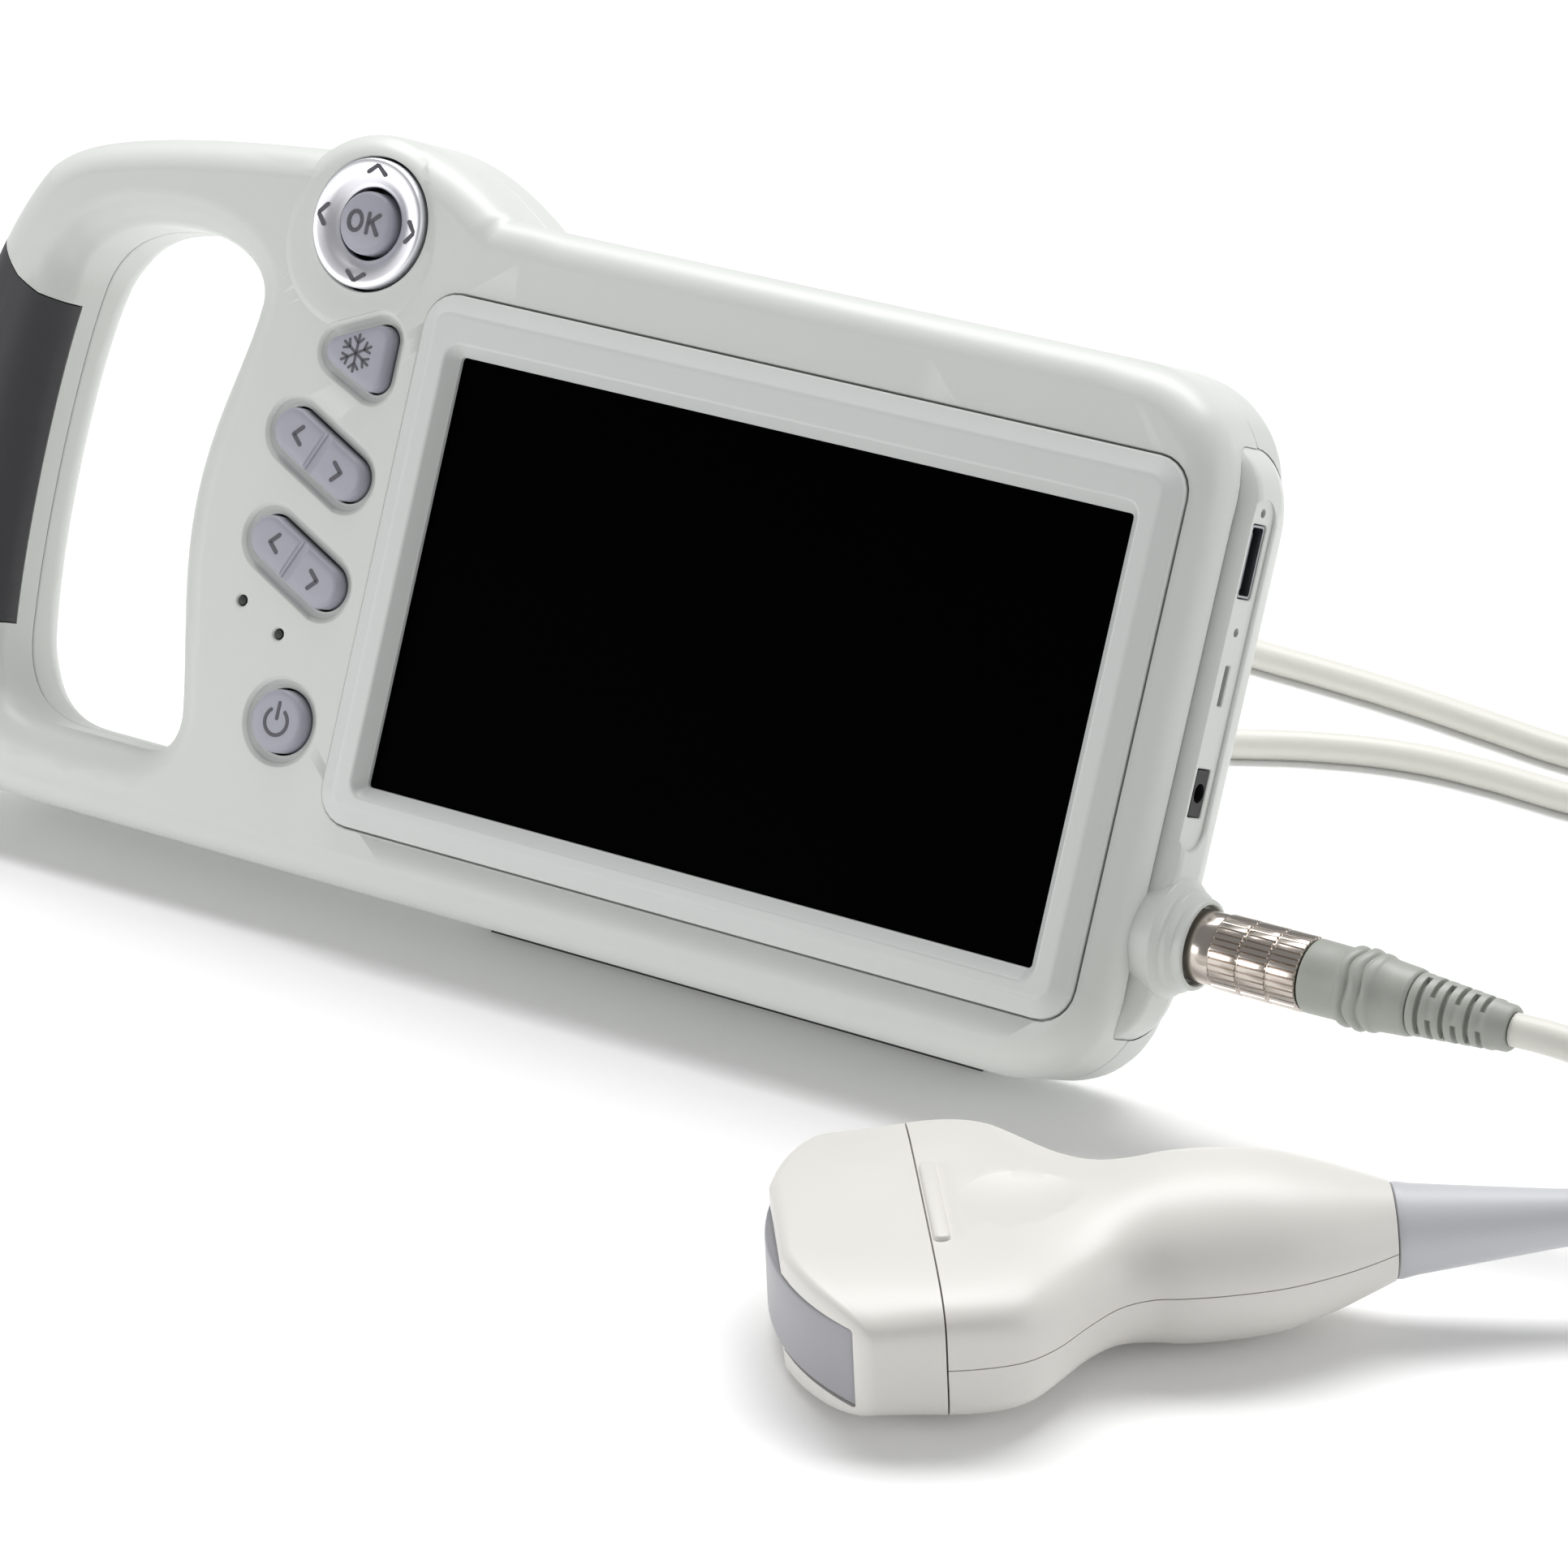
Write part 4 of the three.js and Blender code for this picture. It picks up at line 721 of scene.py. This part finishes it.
# ---- keys: lacquered caps with a rounded shoulder
keyTop = 1.8
keyRim = [(0, -2.4), (0, 0.75), (-0.06, 1.05), (-0.25, 1.38), (-0.6, 1.62), (-1.0, 1.73), (-1.35, 1.77),
          (-2.3, keyTop)]
markReach = 6.3
for name, key in keySet.items():
    cap = loft(name + "_cap", [atLevel(keyOutline(key, grow), z) for grow, z in keyRim])
    if key["kind"] == "capsule":
        # the bridge between the two halves is a shallow groove with sloping sides
        for depth, half in ((0.35, 1.5), (0.75, 0.85)):
            groove = loft("groove", [[(x, y, z) for x, y in ((-half - w, -9), (half + w, -9), (half + w, 9),
                                                             (-half - w, 9))]
                                     for w, z in ((-0.35, -depth), (0.5, 0.6))])
            settle(groove, Matrix.Translation((key["x"], key["y"], keyTop))
                   @ Matrix.Rotation(rockerTilt, 4, "Z"))
            cut(cap, groove)
    smoothBy(cap, 28)
    dress(cap, lacqueredSilicone)
    settle(cap, facePlace)
    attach(cap, key["body"])
    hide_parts(name)
    here = (key["x"], key["y"])
    if key["kind"] == "capsule":
        dx, dy = math.cos(rockerTilt) * markReach, math.sin(rockerTilt) * markReach
        marks = stroke(chevron, 0.9, keyTop, (here[0] - dx, here[1] - dy), 0)
        marks += stroke(chevron, 0.9, keyTop, (here[0] + dx, here[1] + dy), math.pi)
    elif key["kind"] == "disc":
        ring = [(2.75 * math.sin(a), -0.15 + 2.75 * math.cos(a)) for a in
                [math.radians(38 + (322 - 38) * i / 18) for i in range(19)]]
        marks = stroke(ring, 0.75, keyTop, here) + stroke([(0, 0.5), (0, 3.7)], 0.75, keyTop, here)
    else:
        marks = []
        middle = (here[0] - 0.6, here[1] + 0.2)
        for arm in range(6):
            turn = math.radians(30 + 60 * arm)
            marks += stroke([(0, 0), (3.7, 0)], 0.55, keyTop, middle, turn)
            for way in (-1, 1):
                marks += stroke([(2.0, 0), (3.1, way * 1.1)], 0.5, keyTop, middle, turn)
    printed(name + "_mark", marks, key["body"])
print("keys done")

# ---- dial: a dished aluminium ring with the select key in its middle
dialRing = turnedAt("dial_ring_piece", dialX, dialY, [
    (7.4, -0.9), (13.0, -0.9), (13.1, -0.6), (13.1, 1.75), (13.02, 2.1), (12.8, 2.36), (12.45, 2.5),
    (11.6, 2.42), (10.4, 2.22), (9.8, 2.02), (9.2, 1.68), (8.4, 1.15), (7.9, 0.9), (7.55, 0.8),
    (7.4, 0.7), (7.4, -0.9)], 96,
    ring=True)
smoothBy(dialRing, 35)
dress(dialRing, anodisedAluminium)
settle(dialRing, facePlace)
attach(dialRing, "dial_ring")
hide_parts("nav_ring")
ringMarks = []
for quarter in range(4):
    turn = quarter * math.pi / 2
    place = (dialX - 11.05 * math.cos(turn), dialY - 11.05 * math.sin(turn))
    ringMarks += stroke([(0.95, 2.0), (-0.75, 0), (0.95, -2.0)], 0.85, 2.38, place, turn)
printed("dial_marks", ringMarks, "dial_ring")

okKey = turnedAt("select_key", dialX, dialY, [
    (6.4, -2), (6.4, 1.7), (6.3, 2.15), (6.05, 2.5), (5.6, 2.75), (5.0, 2.88), (3.6, 3.02), (2.0, 3.1),
    (0.6, 3.12)], 72)
smoothBy(okKey, 35)
dress(okKey, lacqueredSilicone)
settle(okKey, facePlace)
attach(okKey, "ok_key")
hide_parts("ok_button")
letterO = [(-2.15 + 1.6 * math.cos(a), 1.95 * math.sin(a)) for a in [i / 16 * 2 * math.pi for i in range(17)]]
letterK = [[(0.95, 1.95), (0.95, -1.95)], [(3.3, 1.95), (1.0, -0.15)], [(1.75, 0.5), (3.45, -1.95)]]
word = []
for line in [letterO] + letterK:
    word += stroke(line, 0.82, 3.1, (dialX, dialY))
printed("select_word", word, "ok_key")
print("dial done")

# ---- end panel with its port strip and the stepped boss round the socket
def sideLoft(name, y0, y1, z0, z1, radius, levels):
    # pushes a rounded rectangle along x; levels are (x, grow)
    return loft(name, [[(x, b, a) for a, b in roundRectRun(z0 - g, z1 + g, y0 - g, y1 + g, radius + g)]
                       for x, g in levels])


plugAxis = {"y": -32.3, "z": -16}


def alongPlug(name, profile, count=72, close=(True, True), ring=False, wave=None):
    sections = []
    for r, x in profile:
        section = []
        for i in range(count):
            a = 2 * math.pi * i / count
            rr, xx = wave(r, x, a) if wave else (r, x)
            section.append((xx, plugAxis["y"] + rr * math.cos(a), plugAxis["z"] + rr * math.sin(a)))
        sections.append(section)
    return loft(name, sections, close, ring)


sideX = console["right"]
endPanel = loft("end_panel", capSections(0))
block = loft("block", [atLevel(roundRectRun(60, sideX - 3.6, -90, 90, 1), z) for z in (-40, 5)])
cut(endPanel, block)
cut(endPanel, alongPlug("socketBoss", [
    (11.6, sideX - 2), (11.6, sideX + 3.6), (11.4, sideX + 4.2), (10.9, sideX + 4.7), (10.4, sideX + 4.95),
    (10.05, sideX + 5.2), (10.0, sideX + 6.1), (9.85, sideX + 6.6), (9.4, sideX + 7.0), (9.0, sideX + 7.25),
    (8.9, sideX + 7.5), (8.9, sideX + 8.8), (8.7, sideX + 9.2), (8.3, sideX + 9.4)]), "UNION")
cut(endPanel, alongPlug("socketBore", [
    (6.9, sideX - 9), (6.9, sideX + 7.2), (7.75, sideX + 7.2), (7.75, sideX + 9.1), (8.0, sideX + 9.45),
    (8.0, sideX + 12)]))
cut(endPanel, sideLoft("strip", -15.85, 51.55, -17.4, -8.6, 4.3, [
    (sideX + 12, 0.5), (sideX + 3.62, 0.5), (sideX + 3.5, 0.2), (sideX + 3.3, 0), (sideX + 2.9, 0)]))
for low, high, half, radius in ((32.35, 46.75, 2.8, 0.8), (11.93, 19.73, 0.9, 0.3), (-9.43, -0.03, 2.6, 0.3)):
    cut(endPanel, sideLoft("port", low, high, -13 - half, -13 + half, radius, [
        (sideX + 12, 0.25), (sideX + 2.92, 0.25), (sideX + 2.7, 0), (sideX - 20, 0)]))
for y in (48.85, 26.07):
    cut(endPanel, sideLoft("pinHole", y - 0.9, y + 0.9, -13.9, -12.1, 0.9, [(sideX + 12, 0), (sideX, 0)]))
smoothBy(endPanel, 32)
useModifier(endPanel, "WEIGHTED_NORMAL", keep_sharp=True, weight=100)
dress(endPanel, mouldedAbs)
settle(endPanel, facePlace)
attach(endPanel, "scanner")
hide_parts("end_cap")
print("end panel done", len(endPanel.data.polygons))

# ---- plug: knurled collar, moulded body, slotted bend relief
sleeveStart, sleeveEnd = 102.05, 126.85


def knurl(r, x, a):
    # thirty six flat ridges with narrow grooves between them, on the three gripping bands
    return (r - 0.34 if r > 7.15 and math.cos(36 * a) > 0.9 else r), x


sleeveProfile = [(6.0, sleeveStart), (6.7, sleeveStart), (6.95, sleeveStart + 0.3), (6.95, sleeveStart + 5.4),
                 (6.75, sleeveStart + 5.7)]
bandRun = (sleeveEnd - sleeveStart - 6) / 3
for band in range(3):
    x = sleeveStart + 6 + band * bandRun
    sleeveProfile += [(6.8, x - 0.15), (7.2, x + 0.1), (7.26, x + 0.35), (7.26, x + bandRun - 0.75),
                      (7.2, x + bandRun - 0.5), (6.8, x + bandRun - 0.3)]
sleeveProfile += [(6.6, sleeveEnd - 0.3), (5.9, sleeveEnd - 0.3), (5.9, sleeveStart)]
sleeveProfile.append(sleeveProfile[0])
collar = alongPlug("plug_collar_piece", sleeveProfile, 216, ring=True, wave=knurl)
smoothBy(collar, 40)
dress(collar, nickelPlate)
settle(collar, facePlace)
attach(collar, "plug_collar")
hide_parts("plug_sleeve")


def wavy(r, x, a):
    # the grip rings run in a gentle wave round the body
    share = max(0.0, 1 - abs(x - sleeveEnd - 11.2) / 4.4)
    return r, x + 0.5 * share * math.sin(5 * a)


mouldProfile = [
    (6.0, 0), (6.8, 0), (7.05, 0.25), (7.1, 0.7), (7.05, 4), (7.0, 7.3), (7.15, 7.7), (7.6, 8.0),
    (7.75, 8.5), (7.75, 9.2), (7.55, 9.7), (7.15, 10.0), (7.15, 10.3), (7.6, 10.55), (7.88, 11.0),
    (7.9, 11.9), (7.7, 12.5), (7.2, 12.85), (7.15, 13.1), (7.4, 13.35), (7.52, 13.8), (7.45, 14.7),
    (7.2, 15.2), (6.95, 15.5), (6.7, 18.5), (6.5, 21.2), (6.35, 21.75), (6.0, 22.0)]
mould = alongPlug("plug_mould", [(r, sleeveEnd + x) for r, x in mouldProfile], 96, wave=wavy)
smoothBy(mould, 40)
dress(mould, mouldedPvc)
settle(mould, facePlace)
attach(mould, "scanner")
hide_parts("plug_body")

bootStart = sleeveEnd + 22.3
slotPitch = 2.5


def slotted(r, x, a):
    # negative radii mark the slot floor: it only shows between four ribs that shift row by row
    if r > 0:
        return r, x
    row = int((x - bootStart - 1.6) / slotPitch)
    rib = math.cos(2 * a + (math.pi if row % 2 else 0)) > 0.62
    return (-r + (1.15 if rib else 0)), x


bootProfile = [(5.4, bootStart), (5.9, bootStart), (6.0, bootStart + 0.2), (6.0, bootStart + 1.3)]
for row in range(6):
    x = bootStart + 1.6 + row * slotPitch
    r = 5.9 - 0.2 * row
    bootProfile += [(r, x), (-(r - 1.2), x + 0.08), (-(r - 1.2), x + 1.05), (r - 0.05, x + 1.13),
                    (r - 0.1, x + 2.3)]
bootProfile += [(4.55, bootStart + 16.8), (4.45, bootStart + 19.0), (4.1, bootStart + 19.5)]
boot = alongPlug("plug_relief", bootProfile, 96, wave=slotted)
smoothBy(boot, 35)
dress(boot, mouldedPvc)
settle(boot, facePlace)
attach(boot, "scanner")
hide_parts("plug_boot")
print("plug done")

# ---- probe: x along it to the tail, y across, z up
head = {"half": 39.0, "radius": 60.0, "nose": 14.0, "crown": 0.17, "lensHalf": 36.3, "lensHigh": 7.4}
stations = [
    (-20, 38.6, 12.4, 7), (0, 39, 12.4, 7), (10, 39.45, 12.4, 6.5), (20, 39.8, 12.4, 5.8),
    (28, 38.4, 12.4, 4.6), (34, 34.1, 12.4, 3.3), (40, 27.3, 12.6, 2.7), (46, 21.6, 13.4, 2.45),
    (52, 19.5, 14.6, 2.3), (58, 20, 15.6, 2.2), (66, 20, 16, 2.1), (76, 18.8, 15.2, 2.1),
    (85.4, 15.6, 12.8, 2.05), (92.2, 12.2, 10.6, 2), (97, 9.2, 9, 2)]


def stationAt(t):
    # half width, half height and squareness at t, on a smooth curve through the stations
    i = 1
    while i < len(stations) - 1 and stations[i][0] < t:
        i += 1
    a, b = stations[i - 1], stations[i]
    before, after = stations[max(i - 2, 0)], stations[min(i + 1, len(stations) - 1)]
    run = b[0] - a[0]
    f = min(max((t - a[0]) / run, 0), 1)
    found = []
    for k in (1, 2, 3):
        slopeA = (b[k] - before[k]) / (b[0] - before[0]) * run if i > 1 else 0
        slopeB = (after[k] - a[k]) / (after[0] - a[0]) * run if i < len(stations) - 1 else b[k] - a[k]
        found.append(a[k] * (2 * f ** 3 - 3 * f * f + 1) + slopeA * (f ** 3 - 2 * f * f + f)
                     + b[k] * (3 * f * f - 2 * f ** 3) + slopeB * (f ** 3 - f * f))
    return found


headCentre = math.sqrt(head["radius"] ** 2 - head["half"] ** 2)


def sagitta(y, raised=0.0):
    radius = head["radius"] + raised
    return headCentre - math.sqrt(max(radius * radius - y * y, 1))


def crownAt(y, t, wide):
    fade = 1 - easeInOut(t / 26)
    return 1 - head["crown"] * fade * min(1, abs(y) / wide) ** 2.2


def probeRing(t, inset, shrink=0.0, flat=1.0, around=112):
    wide, high, square = stationAt(t)
    ring = []
    for i in range(around):
        turn = 2 * math.pi * (i + 0.5) / around
        cos, sin = math.cos(turn), math.sin(turn)
        y = (wide - inset - shrink) * math.copysign(abs(cos) ** (2 / square), cos)
        rise = high * crownAt(y, t, wide) - inset - shrink
        z = rise * math.copysign(abs(sin) ** (2 / square), sin) * flat
        bend = 1 - easeInOut((t + 4) / 34)
        ring.append((t + inset + sagitta(y) * bend, y, z))
    return ring


def closeUp(piece):
    # merges what meets at a flattened end and turns every face outwards
    pick(piece)
    bpy.ops.object.mode_set(mode="EDIT")
    bpy.ops.mesh.select_all(action="SELECT")
    bpy.ops.mesh.remove_doubles(threshold=0.004)
    bpy.ops.mesh.normals_make_consistent(inside=False)
    bpy.ops.object.mode_set(mode="OBJECT")
    return piece


def probeSolid(name, inset):
    # the nose is closed by rings that flatten to its middle line, with a rounded edge before them
    edge = 1.7
    rings = [probeRing(0, inset, edge, flat) for flat in (0, 0.5, 0.85)]
    for i in range(6):
        turn = i / 5 * math.pi / 2
        along = edge * (1 - math.cos(turn)) if i else 0
        rings.append(probeRing(along, inset, edge * (1 - math.sin(turn)), 1))
    t = 4.0
    while t < probe["length"] - 1:
        rings.append(probeRing(t, inset))
        t += 1.8
    rings.append(probeRing(probe["length"] - inset, inset))
    return closeUp(loft(name, rings, (False, True)))


def lensSolid(name, grow, raised):
    # curved strip, square at the back, rounded at the front
    def ring(shrink, depth, flat=1.0, back=None):
        points = roundRectRun(-head["lensHigh"] - grow + shrink, head["lensHigh"] + grow - shrink,
                              -head["lensHalf"] - grow + shrink, head["lensHalf"] + grow - shrink, 0.8, 5)
        dense = []
        for i, (a, b) in enumerate(points):
            c, d = points[(i + 1) % len(points)]
            count = 24 if abs(d - b) > 20 else 1
            dense += [(a + (c - a) * k / count, b + (d - b) * k / count) for k in range(count)]
        return [((back if back is not None else sagitta(b, raised) + depth), b, a * flat) for a, b in dense]
    rings = [ring(0, 0, back=6.0), ring(0, 2.5), ring(0, 0.9), ring(0.1, 0.45), ring(0.4, 0.12), ring(0.9, 0),
             ring(1.4, 0, 0.5), ring(1.4, 0, 0)]
    return closeUp(loft(name, rings, (True, False)))


def keepSide(piece, point, normal):
    # trims a closed piece by a plane and closes it again
    pick(piece)
    bpy.ops.object.mode_set(mode="EDIT")
    bpy.ops.mesh.select_all(action="SELECT")
    bpy.ops.mesh.bisect(plane_co=point, plane_no=normal, use_fill=True, clear_outer=True)
    bpy.ops.object.mode_set(mode="OBJECT")


def copyOf(piece, name):
    pick(piece)
    bpy.ops.object.duplicate()
    made = bpy.context.object
    made.name = name
    made.data.name = name
    return made


probeShape = probeSolid("probe_shape", 0)
probeHollow = probeSolid("probe_hollow", 2.2)
nosePiece = copyOf(probeShape, "probe_nose_piece")
topHalf = copyOf(probeShape, "probe_top")
bottomHalf = probeShape
bottomHalf.name = "probe_bottom"
seam = head["nose"]
keepSide(nosePiece, (seam - 0.16, 0, 0), (1, 0, 0))
keepSide(topHalf, (seam + 0.16, 0, 0), (-1, 0, 0))
keepSide(topHalf, (0, 0, 0.1), (0, 0, -1))
keepSide(bottomHalf, (seam + 0.16, 0, 0), (-1, 0, 0))
keepSide(bottomHalf, (0, 0, -0.1), (0, 0, 1))
for piece in (nosePiece, topHalf, bottomHalf):
    cut(piece, probeHollow, keep=True)
bpy.data.objects.remove(probeHollow)
cut(nosePiece, lensSolid("lensSeat", 0.22, 2.5))
lensPiece = lensSolid("probe_lens_piece", 0, -0.2)


def topAt(x, y):
    wide, high, square = stationAt(x)
    return high * crownAt(y, x, wide) * (1 - (abs(y) / wide) ** square) ** (1 / square)


# orientation bar along the front edge of the top half, and the thumb dimple behind it
barRows = []
for shrink, lift in ((0, -1.2), (0, 0.35), (0.1, 0.6), (0.35, 0.82), (0.8, 0.9)):
    outline = roundRectRun(seam + 0.5 + shrink, seam + 3.5 - shrink, -15 + shrink, 15 - shrink,
                           1.3 - shrink, 5)
    barRows.append([(x, y, topAt(x, y) + lift) for x, y in outline])
cut(topHalf, loft("marker", barRows), "UNION")
deselectAll()
dimple = {"x": 30.5, "radius": 50.6, "top": 12.4, "depth": 1.0}
bpy.ops.mesh.primitive_uv_sphere_add(segments=128, ring_count=64, radius=dimple["radius"], location=(
    dimple["x"], 0, dimple["top"] + dimple["radius"] - dimple["depth"]))
cut(topHalf, bpy.context.object)

for piece, material, node, slot in ((nosePiece, probeAbs, "probe_nose", "probe_plastic"),
                                    (topHalf, probeAbs, "probe_top_shell", "probe_plastic"),
                                    (bottomHalf, probeAbs, "probe_bottom_shell", "probe_plastic"),
                                    (lensPiece, lensSilicone, "probe_lens", "lens_silicone")):
    smoothBy(piece, 38)
    dress(piece, material)
    settle(piece, probePlace)
    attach(piece, "scanner")
    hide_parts(node)

tail = probe["length"]
reliefRows = [(5.1, -6), (5.1, 0.3), (8.4, 0.3), (8.65, 0.5), (8.7, 1.2), (8.62, 1.9), (8.2, 4), (6.95, 15),
              (5.3, 30), (4.75, 38), (4.3, 46.6), (4.15, 47.6), (3.8, 48)]
probeRelief = loft("probe_relief", [[(tail + x, r * math.cos(a), r * math.sin(a)) for a in
                                     [2 * math.pi * i / 64 for i in range(64)]] for r, x in reliefRows])
smoothBy(probeRelief, 40)
dress(probeRelief, reliefRubber)
settle(probeRelief, probePlace)
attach(probeRelief, "scanner")
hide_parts("probe_boot")
print("probe done")

# ---- pieces kept from the CAD model
# the foot strip's near black rubber is partly real and partly painted shadow under the console's lower front
# edge
kept = {
    "rear_stand": mouldedAbs, "stand_foot": footRubberAndShadow, "foot_strip": footRubberAndShadow,
    "stand_pin_left": zincSteel, "stand_pin_right": zincSteel, "case_screw_1": zincSteel,
    "case_screw_2": zincSteel, "case_screw_3": zincSteel, "case_screw_4": zincSteel,
    "screen_window": darkGlass, "lcd_panel": socketPbt, "nav_gimbal": socketPbt, "led_charge": socketPbt,
    "led_power": socketPbt, "key_mat": gripTpe, "key_board": boardResist, "main_board": boardResist,
    "battery_pack": wrapFilm, "data_port": zincSteel, "card_slot": socketPbt, "power_jack": socketPbt,
    "probe_socket": socketPbt, "plug_insert": nickelPlate, "crystal_array": zincSteel,
    "array_backing": socketPbt, "probe_board": boardResist
}
for name, material in kept.items():
    dress(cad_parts[name], material)

# ---- studio: white paper floor, a large soft light above and behind, weaker ones front left and right
floorPaper = newMaterial("floorPaper", "FDFDFD", 0.85, mottle=0.002, Emission_Color=(1, 1, 1, 1),
                         Emission_Strength=0.05)
deselectAll()
bpy.ops.mesh.primitive_plane_add(size=12, location=(0, 0, 0))
floor = bpy.context.object
floor.name = "floor"
dress(floor, floorPaper)


def softLight(name, place, aim, size, power):
    deselectAll()
    bpy.ops.object.light_add(type="AREA", location=place)
    light = bpy.context.object
    light.name = name
    light.data.shape = "RECTANGLE"
    light.data.size, light.data.size_y = size
    light.data.energy = power
    light.rotation_euler = (Vector(aim) - Vector(place)).to_track_quat("-Z", "Y").to_euler()
    return light


softLight("top", (-0.2, 0.62, 1.35), (0, 0.0, 0.04), (1.5, 0.7), 26)
softLight("front", (-0.95, -1.2, 0.27), (0, 0, 0.07), (1.3, 0.45), 7.6)
softLight("side", (1.2, 0.2, 0.34), (0.05, 0, 0.07), (0.8, 0.5), 2.6)
room = bpy.data.worlds.new("room")
room.use_nodes = True
room.node_tree.nodes["Background"].inputs["Color"].default_value = (1, 1, 1, 1)
room.node_tree.nodes["Background"].inputs["Strength"].default_value = 0.28
bpy.context.scene.world = room
bpy.context.scene.view_settings.view_transform = "Standard"

print("scene finished")
